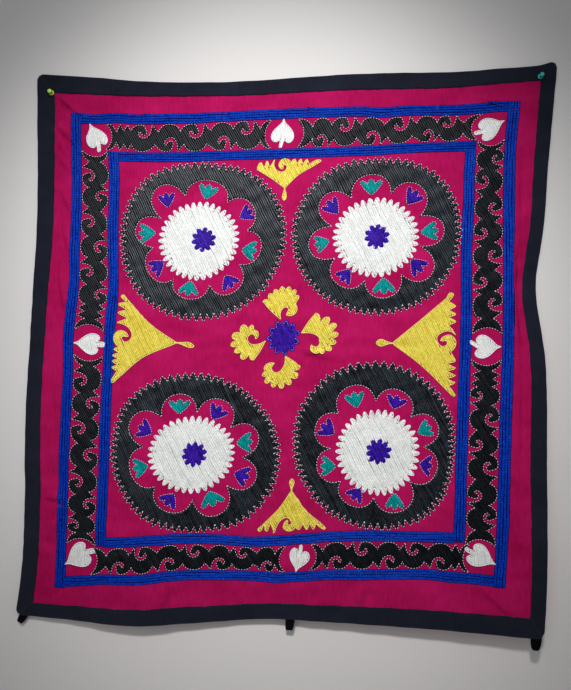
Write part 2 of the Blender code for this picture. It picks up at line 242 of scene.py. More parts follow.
    def standoff(self, across: np.ndarray, down: np.ndarray) -> np.ndarray:
        """Distance of the panel's middle layer from the wall, in millimetres."""
        columns = [smooth_through(self.standoff_shares, row, across / self.width)
                   for _, row in self.standoff_rows]
        heights = [height for height, _ in self.standoff_rows]
        away = smooth_through(heights, np.array(columns), down / self.height)
        for pin_across, pin_down in self.pins:
            away -= self.pin_press * bump(np.hypot(across - pin_across, down - pin_down),
                self.pin_press_spread)
        return away + self.fold_height(self.folds, across, down) - self.tuck_back * self.tuck(across, down)

    def middle(self, across: np.ndarray, down: np.ndarray) -> np.ndarray:
        """Points of the panel's middle layer, in metres."""
        u, v = across / self.width, down / self.height
        corner = {name: np.array(place, float) for name, place in self.corners.items()}
        flat = ((1 - v) * (1 - u))[:, None] * corner["top_left"] + ((1 - v) * u)[:,
            None] * corner["top_right"]
        flat += (v * (1 - u))[:, None] * corner["bottom_left"] + (v * u)[:, None] * corner["bottom_right"]
        x = flat[:, 0] + (1 - u) * self.edge_offset(Side.LEFT, v) + u * self.edge_offset(Side.RIGHT, v)
        x -= self.tuck_in * self.tuck(across, down)
        z = flat[:, 1] + (1 - v) * self.edge_offset(Side.TOP, u) + v * self.edge_offset(Side.BOTTOM, u)
        z += self.ear_high * bump(np.hypot(self.width - across, down), self.ear_spread)
        return np.column_stack((x, -self.standoff(across, down), z)) * MM

    def fine_relief(self, across: np.ndarray, down: np.ndarray) -> np.ndarray:
        """Creases and ripples too fine for the solids, in millimetres."""
        from_edge = np.minimum(np.minimum(across, self.width - across), np.minimum(down,
            self.height - down))
        free = np.clip((from_edge - 37.0) / 10.0, 0, 1) * (1 - 0.8 * bump(from_edge - 106.0, 18.0))
        total = self.fold_height(self.creases, across, down, 0.4) * free
        for turn, length, phase in self.ripples:
            place = (across * math.cos(turn) + down * math.sin(turn)) * 2 * math.pi / length
            total += self.ripple_high * np.sin(place + phase)
        return total

    def hang(self, across, down, lift, step: float = 1.0) -> np.ndarray:
        """Places of points of the cloth.

        Args:
            across: Flat distances from the left edge, in millimetres.
            down: Flat distances from the top edge, in millimetres.
            lift: Distances off the panel's middle layer towards the viewer, in millimetres.
            step: Half of the distance over which the slope is read.

        Returns:
            Points in metres, one row each.
        """
        across, down = np.asarray(across, float), np.asarray(down, float)
        right = (self.middle(np.minimum(across + step, self.width), down)
                 - self.middle(np.maximum(across - step, 0), down))
        below = (self.middle(across, np.minimum(down + step, self.height))
                 - self.middle(across, np.maximum(down - step, 0)))
        outward = np.cross(below, right)
        outward /= np.linalg.norm(outward, axis=1)[:, None]
        height = np.asarray(lift, float) + self.fine_relief(across, down)
        return self.middle(across, down) + outward * (height * MM)[:, None]


@dataclass
class NodeBook:
    """A new node material, with short ways to add and join nodes."""

    name: str

    def __post_init__(self) -> None:
        """Start the material."""
        self.material = bpy.data.materials.new(self.name)
        self.material.use_nodes = True
        self.tree = self.material.node_tree
        self.shader = self.tree.nodes["Principled BSDF"]

    def fill(self, node: bpy.types.Node, inputs: dict) -> None:
        """Set inputs to values, or join them to the sockets given."""
        for key, value in inputs.items():
            if isinstance(value, bpy.types.NodeSocket):
                self.tree.links.new(value, node.inputs[key])
            else:
                node.inputs[key].default_value = value

    def add(self, kind: str, inputs: dict, **settings) -> bpy.types.Node:
        """Add a node with its settings and inputs."""
        node = self.tree.nodes.new("ShaderNode" + kind)
        for key, value in settings.items():
            setattr(node, key, value)
        self.fill(node, inputs)
        return node

    def noise(self, vector: bpy.types.NodeSocket, scale: tuple, detail: float) -> bpy.types.NodeSocket:
        """A noise stretched by a scale on each axis."""
        stretch = self.add("Mapping", {"Vector": vector, "Scale": scale})
        return self.add("TexNoise", {"Vector": stretch.outputs["Vector"], "Scale": 1.0,
            "Detail": detail}).outputs["Fac"]

    def mix(self, factor, first, second, blend: str = "MIX") -> bpy.types.NodeSocket:
        """A mix of two colours, each a socket or three numbers."""
        colours = [part if isinstance(part, bpy.types.NodeSocket) else (*part, 1) for part in (first,
            second)]
        node = self.tree.nodes.new("ShaderNodeMix")
        node.data_type = "RGBA"
        node.blend_type = blend
        self.fill(node, {"Factor": factor, "A": colours[0], "B": colours[1]})
        return node.outputs["Result"]

    def span(self, value: bpy.types.NodeSocket, start: float, end: float, low: float = 0.0,
                 high: float = 1.0) -> bpy.types.NodeSocket:
        """Map one range of values onto another."""
        return self.add("MapRange", {"Value": value, "From Min": start, "From Max": end, "To Min": low,
                                     "To Max": high}).outputs["Result"]

    def relief(self, height: bpy.types.NodeSocket, strength: float,
            distance: float) -> bpy.types.NodeSocket:
        """A bump from a height."""
        return self.add("Bump", {"Height": height, "Strength": strength,
            "Distance": distance}).outputs["Normal"]


@dataclass(frozen=True)
class ThreadFinish:
    """Embroidery thread: a darker and a lighter tone, and fibres along it."""

    name: str
    dark: tuple
    light: tuple
    roughness: float = 0.6
    specular: float = 0.25
    fibre_depth: float = 0.35

    def make(self) -> bpy.types.Material:
        """The node material."""
        book = NodeBook(self.name)
        tone = book.add("Attribute", {}, attribute_name="tone").outputs["Fac"]
        strand = book.add("UVMap", {}, uv_map="strand").outputs["UV"]
        fibres = book.noise(strand, (9.0, 0.35, 1.0), 3.0)
        shade = book.span(fibres, 0.3, 0.7, 0.6, 1.2)
        colour = book.mix(0.5, book.mix(tone, self.dark, self.light), shade, "MULTIPLY")
        book.fill(book.shader, {
            "Base Color": colour, "Normal": book.relief(fibres, self.fibre_depth, 0.3 * MM),
            "Roughness": self.roughness, "Specular IOR Level": self.specular})
        return book.material


@dataclass(frozen=True)
class ClothFinish:
    """Plain woven cotton: its colour, how much it varies, and the pitch of its weave in mm."""

    name: str
    colour: tuple
    worn: tuple
    pitch: float = 1.1
    weave_depth: float = 0.1
    roughness: float = 0.85
    specular: float = 0.12
    sheen: float = 0.0

    def make(self) -> bpy.types.Material:
        """The node material, on the flat UV map that is in metres of cloth."""
        book = NodeBook(self.name)
        flat = book.add("UVMap", {}, uv_map="flat").outputs["UV"]
        waves = [book.add("TexWave", {"Vector": flat, "Scale": 0.31 / (self.pitch * MM), "Distortion": 0.6,
                                      "Detail": 1.0}, bands_direction=way).outputs["Fac"] for way in ("X",
                                          "Y")]
        weave = book.add("Math", {0: waves[0], 1: waves[1]}, operation="MAXIMUM").outputs[0]
        slubs = [book.noise(flat, scale, 3.0) for scale in ((300.0, 45.0, 1.0), (9.0, 26.0, 1.0),
            (14.0, 10.0, 1.0))]
        pair = book.add("Math", {0: slubs[0], 1: slubs[1]}, operation="ADD").outputs[0]
        total = book.add("Math", {0: pair, 1: slubs[2]}, operation="ADD").outputs[0]
        colour = book.mix(book.span(total, 1.1, 1.9), self.colour, self.worn)
        book.fill(book.shader, {
            "Base Color": colour, "Normal": book.relief(weave, self.weave_depth, 0.25 * MM),
            "Roughness": self.roughness, "Specular IOR Level": self.specular, "Sheen Weight": self.sheen})
        return book.material


@dataclass(frozen=True)
class HardFinish:
    """Moulded plastic or drawn steel, with a fine unevenness."""

    name: str
    colour: tuple
    shade: tuple
    roughness: float
    metallic: float = 0.0
    coat: float = 0.0

    def make(self) -> bpy.types.Material:
        """The node material, on object coordinates."""
        book = NodeBook(self.name)
        place = book.add("TexCoord", {}).outputs["Object"]
        noise = book.noise(place, (600.0, 600.0, 600.0), 2.0)
        book.fill(book.shader, {
            "Base Color": book.mix(noise, self.colour, self.shade), "Normal": book.relief(noise, 0.08,
                0.1 * MM),
            "Roughness": self.roughness, "Metallic": self.metallic, "Coat Weight": self.coat})
        return book.material


MAGENTA_COTTON = ClothFinish("magenta cotton", (0.36, 0.009, 0.10), (0.48, 0.021, 0.155))
DARK_COTTON = ClothFinish("blue black cotton", (0.012, 0.0155, 0.029), (0.022, 0.027, 0.049),
    specular=0.3, sheen=0.4)
DARK_RIBBON = ClothFinish("blue black ribbon", (0.006, 0.008, 0.012), (0.012, 0.014, 0.020), pitch=0.8)
BLACK_THREAD = ThreadFinish("black thread", (0.003, 0.004, 0.006), (0.054, 0.070, 0.094), 0.45, 0.5)
# The scroll's black thread is set darker than the rings' black thread.
SCROLL_THREAD = ThreadFinish("scroll black thread", (0.002, 0.003, 0.005), (0.028, 0.034, 0.047), 0.5, 0.4)
WHITE_THREAD = ThreadFinish("white thread", (0.66, 0.68, 0.67), (0.92, 0.93, 0.92))
BLUE_THREAD = ThreadFinish("blue thread", (0.002, 0.016, 0.19), (0.011, 0.17, 0.90), 0.5, 0.2)
YELLOW_THREAD = ThreadFinish("yellow thread", (0.62, 0.50, 0.06), (0.90, 0.83, 0.24))
PALE_YELLOW_THREAD = ThreadFinish("pale yellow thread", (0.68, 0.58, 0.14), (0.93, 0.89, 0.42))
VIOLET_THREAD = ThreadFinish("violet thread", (0.030, 0.006, 0.18), (0.13, 0.045, 0.66), 0.5, 0.2)
TEAL_THREAD = ThreadFinish("teal thread", (0.0, 0.21, 0.22), (0.008, 0.52, 0.53), 0.5, 0.2)
YELLOW_GREEN_PLASTIC = HardFinish("yellow green plastic", (0.50, 0.72, 0.12), (0.60, 0.80, 0.22), 0.22,
    coat=0.4)
TEAL_PLASTIC = HardFinish("teal plastic", (0.04, 0.44, 0.42), (0.09, 0.52, 0.50), 0.22, coat=0.4)
NEEDLE_STEEL = HardFinish("needle steel", (0.60, 0.60, 0.61), (0.52, 0.52, 0.53), 0.28, metallic=1.0)


@dataclass
class Stitchwork:
    """Ridges of thread in flat cloth places, gathered, hung and joined as one mesh."""

    cloth: HungCloth
    seed: int = 1
    # Each section point is sideways, upward and a tone factor; the 0.3 at the two foot points is painted
    # shade in the grooves between threads.
    section: tuple = ((-1.0, 0.0, 0.3), (-0.5, 0.92, 1.0), (0.5, 0.92, 1.0), (1.0, 0.0, 0.3))
    level_jitter: float = 0.07
    tie_jitter: float = 0.12
    tie_margin: float = 0.4
    shortest: float = 1.0
    sway: float = 1.3
    sway_along: float = 23.0
    sway_aside: float = 41.0
    half_share: float = 0.66
    end_share: float = 0.7
    tie_rise: float = 0.6
    # Tone factor at the ties: painted shade where the thread dips to the cloth.
    tie_painted_shade: float = 0.55
    grain_tone: float = 0.16
    strand_share: float = 0.44

    def __post_init__(self) -> None:
        """Start with nothing gathered."""
        self.flat, self.quads, self.tones, self.strands = [], [], [], []
        self.count = 0
        self.draw = np.random.default_rng(self.seed)

    def ridges(self, centres: np.ndarray, half: np.ndarray, rise: np.ndarray, base,
            tone: np.ndarray) -> None:
        """Add ridges that all have the same number of stations.

        Args:
            centres: Middle line of each ridge, with the axes ridge, station and (across, down).
            half: Half of the width at each station.
            rise: Height at each station.
            base: Lift of the foot, one value or one for each station.
            tone: Tone from 0 to 1 at each station.
        """
        ridges, stations, _ = centres.shape
        half, rise, tone = (np.broadcast_to(part, (ridges, stations)) for part in (half, rise, tone))
        base = np.broadcast_to(base, (ridges, stations))
        ahead = np.gradient(centres, axis=1)
        ahead /= np.maximum(np.linalg.norm(ahead, axis=2), 1e-9)[:, :, None]
        aside = np.stack((-ahead[:, :, 1], ahead[:, :, 0]), axis=2)
        steps = np.linalg.norm(np.diff(centres, axis=1), axis=2)
        along = np.concatenate((np.zeros((ridges, 1)), np.cumsum(steps, axis=1)), axis=1)
        along += self.draw.uniform(0, 400, (ridges, 1))
        size = len(self.section)
        points = np.empty((ridges, stations, size, 3))
        strand = np.empty((ridges, stations, size, 2))
        for k, (sideways, upward, _) in enumerate(self.section):
            points[:, :, k, :2] = centres + aside * (half * sideways)[:, :, None]
            points[:, :, k, 2] = base + rise * upward
            strand[:, :, k, 0] = k / (size - 1)
            strand[:, :, k, 1] = along
        first = (np.arange(ridges) * stations * size)[:, None, None] + self.count
        row = (np.arange(stations - 1) * size)[None, :, None]
        place = np.arange(size)[None, None, :]
        following = np.roll(np.arange(size), -1)[None, None, :]
        sides = np.stack((first + row + place, first + row + following,
                          first + row + size + following, first + row + size + place), axis=3)
        self.quads.append(sides.reshape(-1, 4))
        start = (np.arange(ridges) * stations * size)[:, None] + self.count
        self.quads.append(start + np.array([[3, 2, 1, 0]]))
        self.quads.append(start + (stations - 1) * size + np.array([[0, 1, 2, 3]]))
        self.flat.append(points.reshape(-1, 3))
        self.strands.append(strand.reshape(-1, 2))
        # Painted shade: the section's tone factor darkens each ridge's foot, in the grooves between threads.
        shade = np.array([part[2] for part in self.section])
        self.tones.append((tone.reshape(-1, 1) * shade).ravel())
        self.count += ridges * stations * size

    def laid_fill(self, loops: list, turn: float, pitch: float = 3.8, grain: float = 8.5, rise: float = 1.1,
                      base: float = 0.45, contrast: float = 0.12) -> None:
        """Fill an outline with laid threads that are tied down along their length.

        Args:
            loops: Closed outlines, of which those inside others are holes.
            turn: Direction of the threads, in degrees below the horizontal.
            pitch: Distance between threads.
            grain: Distance between ties.
            rise: Height of the threads between their ties.
            base: Lift of their foot.
            contrast: How much the tone varies from thread to thread.
        """
        ahead = np.array((math.cos(math.radians(turn)), math.sin(math.radians(turn))))
        aside = np.array((-ahead[1], ahead[0]))
        edges = []
        for loop in loops:
            starts, ends = loop, np.roll(loop, -1, axis=0)
            edges.append(np.column_stack((starts @ ahead, starts @ aside, ends @ ahead, ends @ aside)))
        edges = np.vstack(edges)
        low, high = edges[:, 1].min(), edges[:, 1].max()
        groups: dict[int, list] = {}
        for line in range(math.floor(low / pitch), math.ceil(high / pitch)):
            level = (line + 0.5 + self.draw.uniform(-self.level_jitter, self.level_jitter)) * pitch
            cut = edges[(edges[:, 1] <= level) != (edges[:, 3] <= level)]
            if len(cut) < 2:
                continue
            share = (level - cut[:, 1]) / (cut[:, 3] - cut[:, 1])
            crossings = np.sort(cut[:, 0] + share * (cut[:, 2] - cut[:, 0]))
            for start, end in zip(crossings[0::2], crossings[1::2]):
                if end - start < self.shortest:
                    continue
                shift = 0.5 * (line % 2) + self.draw.uniform(-self.tie_jitter, self.tie_jitter)
                first = math.ceil((start + self.tie_margin * grain) / grain - shift)
                last = math.floor((end - self.tie_margin * grain) / grain - shift)
                ties = [(k + shift) * grain for k in range(first, last + 1)]
                bounds = np.array([start, *ties, end])
                stations = np.empty(2 * len(bounds) - 1)
                stations[0::2] = bounds
                stations[1::2] = (bounds[1:] + bounds[:-1]) / 2
                groups.setdefault(len(stations), []).append((level, stations))
        for size, strips in groups.items():
            levels = np.array([level for level, _ in strips])[:, None]
            stations = np.array([places for _, places in strips])
            share = (stations - stations[:, :1]) / (stations[:, -1:] - stations[:, :1])
            phase = stations / self.sway_along + levels / self.sway_aside
            wobble = self.sway * np.sin(phase) * np.sin(math.pi * share)
            wobble += self.draw.uniform(-0.15, 0.15, stations.shape)
            centres = stations[:, :, None] * ahead + (levels + wobble)[:, :, None] * aside
            height = np.full(stations.shape, rise) * self.draw.uniform(0.85, 1.1, stations.shape)
            height[:, 0::2] *= self.tie_rise
            half = np.full(stations.shape, pitch * self.half_share)
            half[:, [0, -1]] *= self.end_share
            thread_tone = self.draw.normal(0.5, contrast, (len(strips), 1))
            tone = np.clip(thread_tone + self.draw.normal(0.0, self.grain_tone, stations.shape), 0, 1)
            # Painted shade: the tie points, where the thread is pressed down, are darker.
            tone[:, 0::2] *= self.tie_painted_shade
            self.ridges(centres, half, height, base, tone)

    def cord(self, path: np.ndarray, closed: bool, half: float, rise: float, base: float = 0.45,
                 stitch: float = 3.0) -> None:
        """Add a cord of chain stitches along a path."""
        line = closed_up(path, closed)
        length = reach_along(line)
        count = max(int(length[-1] / stitch), 2) + 1
        where = np.linspace(0, length[-1], count)
        centres = np.column_stack([np.interp(where, length, line[:, k]) for k in (0, 1)])[None]
        swell = np.where(np.arange(count) % 2 == 0, 0.84, 1.06)
        tone = np.clip(self.draw.normal(0.55, 0.15, (1, count)), 0, 1)
        self.ridges(centres, (half * swell)[None], (rise * swell)[None], base, tone)

    def running_stitch(self, path: np.ndarray, closed: bool, pitch: float = 6.5, dash: float = 3.9,
                       half: float = 0.85, rise: float = 0.9, base: float = 0.6, aside: float = 0.0) -> None:
        """Add short separate stitches along a path.

        Args:
            path: Points of the path.
            closed: Whether the path comes back to its start.
            pitch: Distance from one stitch to the next.
            dash: Length of a stitch.
            half: Half of its width.
            rise: Its height.
            base: Lift of its foot.
            aside: How far the stitches lie to the side of the path.
        """
        line = closed_up(path, closed)
        length = reach_along(line)
        count = max(round(length[-1] / pitch), 1)
        middle = (np.arange(count) + 0.5) * length[-1] / count + self.draw.uniform(-0.5, 0.5, count)
        reach = dash * self.draw.uniform(0.42, 0.58, count)
        where = middle[:, None] + reach[:, None] * np.array([-1.0, 0.0, 1.0])
        centres = np.stack([np.interp(where, length, line[:, k]) for k in (0, 1)], axis=2)
        run = centres[:, 2] - centres[:, 0]
        run /= np.maximum(np.linalg.norm(run, axis=1), 1e-9)[:, None]
        centres += aside * np.column_stack((-run[:, 1], run[:, 0]))[:, None, :]
        tone = np.clip(self.draw.normal(0.6, 0.2, (count, 1)), 0, 1)
        shape = np.array([[0.5, 1.0, 0.5]])
        self.ridges(centres, half * shape, rise * shape, base, tone)

    def chain_row(self, path: np.ndarray, half: float, rise: float = 1.2, base: float = 0.45,
                      link: float = 5.0) -> None:
        """Add a row of chain stitches: two strands that part and meet in every link."""
        length = reach_along(path)
        links = max(round(length[-1] / link), 2)
        where = np.linspace(0, length[-1], 2 * links + 1)
        centres = np.column_stack([np.interp(where, length, path[:, k]) for k in (0, 1)])
        ahead = np.gradient(centres, axis=0)
        ahead /= np.linalg.norm(ahead, axis=1)[:, None]
        aside = np.column_stack((-ahead[:, 1], ahead[:, 0]))
        part = np.where(np.arange(len(where)) % 2 == 0, 0.30, 0.46) * half
        height = np.where(np.arange(len(where)) % 2 == 0, 0.85, 1.25) * rise
        for hand in (-1, 1):
            strand = centres + aside * (hand * part)[:, None]
            tone = np.clip(self.draw.normal(0.62, 0.18, (1, len(where))), 0, 1)
            # Painted shade: the points where the two strands meet and dip are darker.
            tone[:, 0::2] *= self.tie_painted_shade
            narrow = np.full((1, len(where)), half * self.strand_share)
            self.ridges(strand[None], narrow, height[None], base, tone)

    def build(self, name: str, finish: bpy.types.Material) -> bpy.types.Object:
        """Hang and join what was gathered.

        Args:
            name: Name of the piece.
            finish: Its material.

        Returns:
            The new object, riding on the one body.
        """
        flat = np.vstack(self.flat)
        points = self.cloth.hang(flat[:, 0], flat[:, 1], flat[:, 2])
        quads = np.vstack(self.quads).astype(np.int32)
        mesh = bpy.data.meshes.new(name)
        mesh.vertices.add(len(points))
        mesh.vertices.foreach_set("co", points.ravel())
        mesh.loops.add(quads.size)
        mesh.loops.foreach_set("vertex_index", quads.ravel())
        mesh.polygons.add(len(quads))
        mesh.polygons.foreach_set("loop_start", np.arange(len(quads), dtype=np.int32) * 4)
        mesh.update(calc_edges=True)
        mesh.shade_smooth()
        # The tone attribute carries random tone and painted shade at the ridge feet, the ties and the
        # meeting points of chain strands.
        tone = mesh.attributes.new("tone", "FLOAT", "POINT")
        tone.data.foreach_set("value", np.concatenate(self.tones))
        strand = mesh.uv_layers.new(name="strand")
        strand.data.foreach_set("uv", np.vstack(self.strands)[quads.ravel()].ravel())
        mesh.materials.append(finish)
        piece = bpy.data.objects.new(name, mesh)
        bpy.context.scene.collection.objects.link(piece)
        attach(piece, "root")
        LOG.info("%s: %d faces", name, 2 * len(quads))
        return piece


@dataclass
class SheetMaker:
    """Cloth sheets made from a grid that is moved onto the hung cloth."""

    cloth: HungCloth

    def sheet(self, name: str, columns: np.ndarray, rows: np.ndarray, place, thick: float,
                  finish: bpy.types.Material) -> bpy.types.Object:
        """Make one sheet.

        Args:
            name: Name of the piece.
            columns: Values along the first way of the grid.
            rows: Values along the second way of the grid.
            place: Function from column and row values to points in metres and flat places in mm.
            thick: Thickness in millimetres.
            finish: The material.

        Returns:
            The new object.
        """
        grid = bmesh.new()
        bmesh.ops.create_grid(grid, x_segments=len(columns) - 1, y_segments=len(rows) - 1, size=0.5)
        mesh = bpy.data.meshes.new(name)
        grid.to_mesh(mesh)
        grid.free()
        raw = np.empty(len(mesh.vertices) * 3)
        mesh.vertices.foreach_get("co", raw)
        raw = raw.reshape(-1, 3)
        i = np.rint((raw[:, 0] + 0.5) * (len(columns) - 1)).astype(int)
        j = np.rint((raw[:, 1] + 0.5) * (len(rows) - 1)).astype(int)
        points, flat = place(columns[i], rows[j])
        mesh.vertices.foreach_set("co", points.ravel())
        loops = np.empty(len(mesh.loops), dtype=np.int32)
        mesh.loops.foreach_get("vertex_index", loops)
        layer = mesh.uv_layers[0] if mesh.uv_layers else mesh.uv_layers.new(name="flat")
        layer.name = "flat"
        layer.data.foreach_set("uv", (flat[loops] * MM).ravel())
        mesh.update()
        mesh.shade_smooth()
        mesh.materials.append(finish)
        piece = bpy.data.objects.new(name, mesh)
        bpy.context.scene.collection.objects.link(piece)
        wall = piece.modifiers.new("thickness", "SOLIDIFY")
        wall.thickness = thick * MM
        wall.offset = 0.0
        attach(piece, "root")
        LOG.info("%s: %d cells", name, len(mesh.polygons))
        return piece


@dataclass
class FoldedBorder:
    """The four dark strips, folded over the panel's edge and mitred at the corners."""

    cloth: HungCloth
    widths: dict = field(default_factory=lambda: {
        Side.TOP: (37, 29, 31, 33, 30), Side.BOTTOM: (28, 34, 32, 36, 38),
        Side.LEFT: (37, 35, 31, 33, 33), Side.RIGHT: (30, 28, 29, 32, 29)})
    ground_thick: float = 1.0
    strip_thick: float = 0.7
    clearance: float = 0.35
    mitre_gap: float = 0.4
    corner_radius: float = 13.0
    panel_edge_share: float = 0.16
    step: float = 7.0

    def width_at(self, side: Side, share) -> np.ndarray:
        """Width of the folded strip, in millimetres."""
        return smooth_through(np.linspace(0, 1, 5), self.widths[side], np.clip(share, 0, 1))

    def section(self) -> np.ndarray:
        """Section of a strip: share of the width, a fixed depth and the lift."""
        radius = self.ground_thick / 2 + self.clearance + self.strip_thick / 2
        rows = [(1.0, 0.0, radius), (0.9, 0.0, radius), (0.72, 0.0, radius), (0.5, 0.0, radius),
                (0.3, 0.0, radius), (self.panel_edge_share, 0.0, radius)]
        for degrees in (90, 60, 30, 0, -30, -60, -90):
            turn = math.radians(degrees)
            rows.append((0.0, self.strip_thick / 2 + radius * (1 - math.cos(turn)),
                radius * math.sin(turn)))
        rows += [(self.panel_edge_share, 0.0, -radius), (0.5, 0.0, -radius), (0.75, 0.0, -radius),
            (1.0, 0.0, -radius)]
        return np.array(rows)

    def round_off(self, from_corner: np.ndarray) -> np.ndarray:
        """How far the rounded corner draws the edge in."""
        inner = np.clip(self.corner_radius - from_corner, 0, self.corner_radius)
        return self.corner_radius - np.sqrt(self.corner_radius**2 - inner**2)

    def strip(self, side: Side, maker: SheetMaker, finish: bpy.types.Material) -> bpy.types.Object:
        """Make one strip."""
        level = side in (Side.TOP, Side.BOTTOM)
        length = self.cloth.width if level else self.cloth.height
        start_side, end_side = (Side.LEFT, Side.RIGHT) if level else (Side.TOP, Side.BOTTOM)
        near_start = 0.0 if side in (Side.TOP, Side.LEFT) else 1.0
        start_width, end_width = self.width_at(side, 0.0), self.width_at(side, 1.0)
        start_other = self.width_at(start_side, near_start)
        end_other = self.width_at(end_side, near_start)
        drawn_in = self.corner_radius * (1 - math.sqrt(0.5))
        section = self.section()
        count = int(length / self.step)
        columns = np.linspace(0.0, 1.0, count + 1)
        rows = np.arange(len(section), dtype=float)

        def place(share: np.ndarray, row: np.ndarray) -> tuple:
            """Points and flat places of the strip."""
            part = section[row.astype(int)]
            inner = np.clip((share * length - 45.0) / (length - 90.0), 0, 1)
            width = self.width_at(side, inner)
            depth = width * part[:, 0] + part[:, 1]
            pulled = depth + drawn_in * (1 - depth / width)
            start_cut = pulled * start_other / start_width + self.mitre_gap / 2
            end_cut = length - pulled * end_other / end_width - self.mitre_gap / 2
            along = start_cut + share * (end_cut - start_cut)
            nearest = np.minimum(along - start_cut, end_cut - along)
            depth = depth + self.round_off(drawn_in + nearest) * (1 - depth / width)
            seam = np.where(part[:, 0] > 0.85,
                0.22 * np.sin(along / 9.0) + 0.15 * np.sin(along / 3.7 + 1.0), 0.0)
            lift = part[:, 2] + np.where(part[:, 2] > 0, np.abs(seam) * 0.8, 0.0)
            depth = depth + seam * 1.6
            if side is Side.TOP:
                flat = np.column_stack((along, depth))
            elif side is Side.BOTTOM:
                flat = np.column_stack((along, self.cloth.height - depth))
            elif side is Side.LEFT:
                flat = np.column_stack((depth, along))
            else:
                flat = np.column_stack((self.cloth.width - depth, along))
            return self.cloth.hang(flat[:, 0], flat[:, 1], lift), flat

        piece = maker.sheet("border_" + side.value, columns, rows, place, self.strip_thick, finish)
        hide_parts("binding_" + side.value)
        return piece

    def seam_stitches(self, finish: bpy.types.Material) -> bpy.types.Object:
        """The row of small stitches that holds the strips down."""
        work = Stitchwork(self.cloth, seed=21)
        inset = 2.6
        width, height = self.cloth.width, self.cloth.height
        shares = np.linspace(0, 1, 60)
        top = self.width_at(Side.TOP, shares) - inset
        bottom = self.width_at(Side.BOTTOM, shares) - inset
        left = self.width_at(Side.LEFT, shares) - inset
        right = self.width_at(Side.RIGHT, shares) - inset
        places = {
            Side.TOP: np.column_stack((left[0] + shares * (width - left[0] - right[0]), top)),
            Side.BOTTOM: np.column_stack((left[-1] + shares * (width - left[-1] - right[-1]),
                height - bottom)),
            Side.LEFT: np.column_stack((left, top[0] + shares * (height - top[0] - bottom[0]))),
            Side.RIGHT: np.column_stack((width - right,
                top[-1] + shares * (height - top[-1] - bottom[-1])))}
        for path in places.values():
            work.running_stitch(path, closed=False, pitch=5.2, dash=3.2, half=0.35, rise=0.35, base=1.5)
        return work.build("border_seam_stitches", finish)


@dataclass
class GroundPanel:
    """The magenta cotton that carries the embroidery."""

    cloth: HungCloth
    border: FoldedBorder
    cell: float = 5.6
    thick: float = 1.0
    margin: float = 110.0
    margin_shares: tuple = (0.0, 0.16, 0.84, 1.0)

    def make(self, maker: SheetMaker, finish: bpy.types.Material) -> bpy.types.Object:
        """Make the panel, its edge inside the folded strips."""
        share = self.border.panel_edge_share
        left = self.border.widths[Side.LEFT][0] * share
        right = self.border.widths[Side.RIGHT][0] * share
        top = self.border.widths[Side.TOP][0] * share
        bottom = self.border.widths[Side.BOTTOM][0] * share
        width, height = self.cloth.width, self.cloth.height
        columns = np.interp(np.linspace(0, 1, int(width / self.cell)), self.margin_shares,
                            (left, self.margin, width - self.margin, width - right))
        rows = np.interp(np.linspace(0, 1, int(height / self.cell)), self.margin_shares,
                         (top, self.margin, height - self.margin, height - bottom))

        def place(across: np.ndarray, down: np.ndarray) -> tuple:
            """Points and flat places of the panel."""
            return self.cloth.hang(across, down, np.zeros_like(across)), np.column_stack((across, down))

        piece = maker.sheet("magenta_ground", columns, rows, place, self.thick, finish)
        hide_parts("ground_panel")
        return piece


@dataclass
class HangingLoops:
    """Three ribbons folded in two, sewn behind the bottom strip."""

    cloth: HungCloth
    loops: tuple = (
        ("loop_left", 15.5, 25, 18, 16, 9), ("loop_centre", 561, 0, 22, 18, 11), ("loop_right", 1036, 1,
            22, 20, 8))
    thick: float = 0.9
    fold_radius: float = 0.8
    behind: float = 12.0
    strip_back: float = 1.55
    clearance: float = 0.35

    def make(self, maker: SheetMaker, finish: bpy.types.Material) -> list:
        """Make the three loops."""
        return [self.one(row, maker, finish) for row in self.loops]

    def one(self, row: tuple, maker: SheetMaker, finish: bpy.types.Material) -> bpy.types.Object:
        """Make one loop."""
        name, across, lean, long, root, tip = row
        height = self.cloth.height
        point, right, above = self.cloth.middle(np.array([across, across + 1.0, across]),
                                                np.array([height, height, height - 1.0]))
        rightward = (right - point) / np.linalg.norm(right - point)
        downward = (point - above) / np.linalg.norm(point - above)
        outward = np.cross(downward, rightward)
        turn = math.radians(lean)
        hangs = downward * math.cos(turn) - rightward * math.sin(turn)
        aside = rightward * math.cos(turn) + downward * math.sin(turn)
        front = -(self.strip_back + 2 * self.clearance + self.thick / 2)
        straight = np.linspace(-self.behind, long - self.fold_radius, 14)
        path = [(below, front) for below in straight]
        for degrees in range(30, 180, 30):
            bend = math.radians(degrees)
            path.append((straight[-1] + self.fold_radius * math.sin(bend),
                         front - self.fold_radius * (1 - math.cos(bend))))
        path += [(below, front - 2 * self.fold_radius) for below in straight[::-1]]
        path = np.array(path)

        def place(station: np.ndarray, share: np.ndarray) -> tuple:
            """Points and flat places of the ribbon."""
            below, lift = path[station.astype(int), 0], path[station.astype(int), 1]
            narrow = np.clip(below, 0, None) / long
            width = tip + (root - tip) * np.sqrt(np.clip(1 - narrow**2, 0, 1))
            points = point + (hangs * below[:, None] + aside * (width * share)[:, None]
                              + outward * lift[:, None]) * MM
            return points, np.column_stack((across + width * share, below + station * 2.0))

        ribbon = maker.sheet(name + "_ribbon", np.arange(len(path), dtype=float), np.linspace(-0.5, 0.5, 9),
                             place, self.thick, finish)
        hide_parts(name)
        return ribbon


@dataclass
class BandSide:
    """The middle line of a blue band along one side, and its width."""

    side: Side
    places: tuple
    distances: tuple
    width: float

    def line(self, where) -> np.ndarray:
        """Distance of the middle line, in flat millimetres, at places along the side."""
        return smooth_through(self.places, self.distances, where)


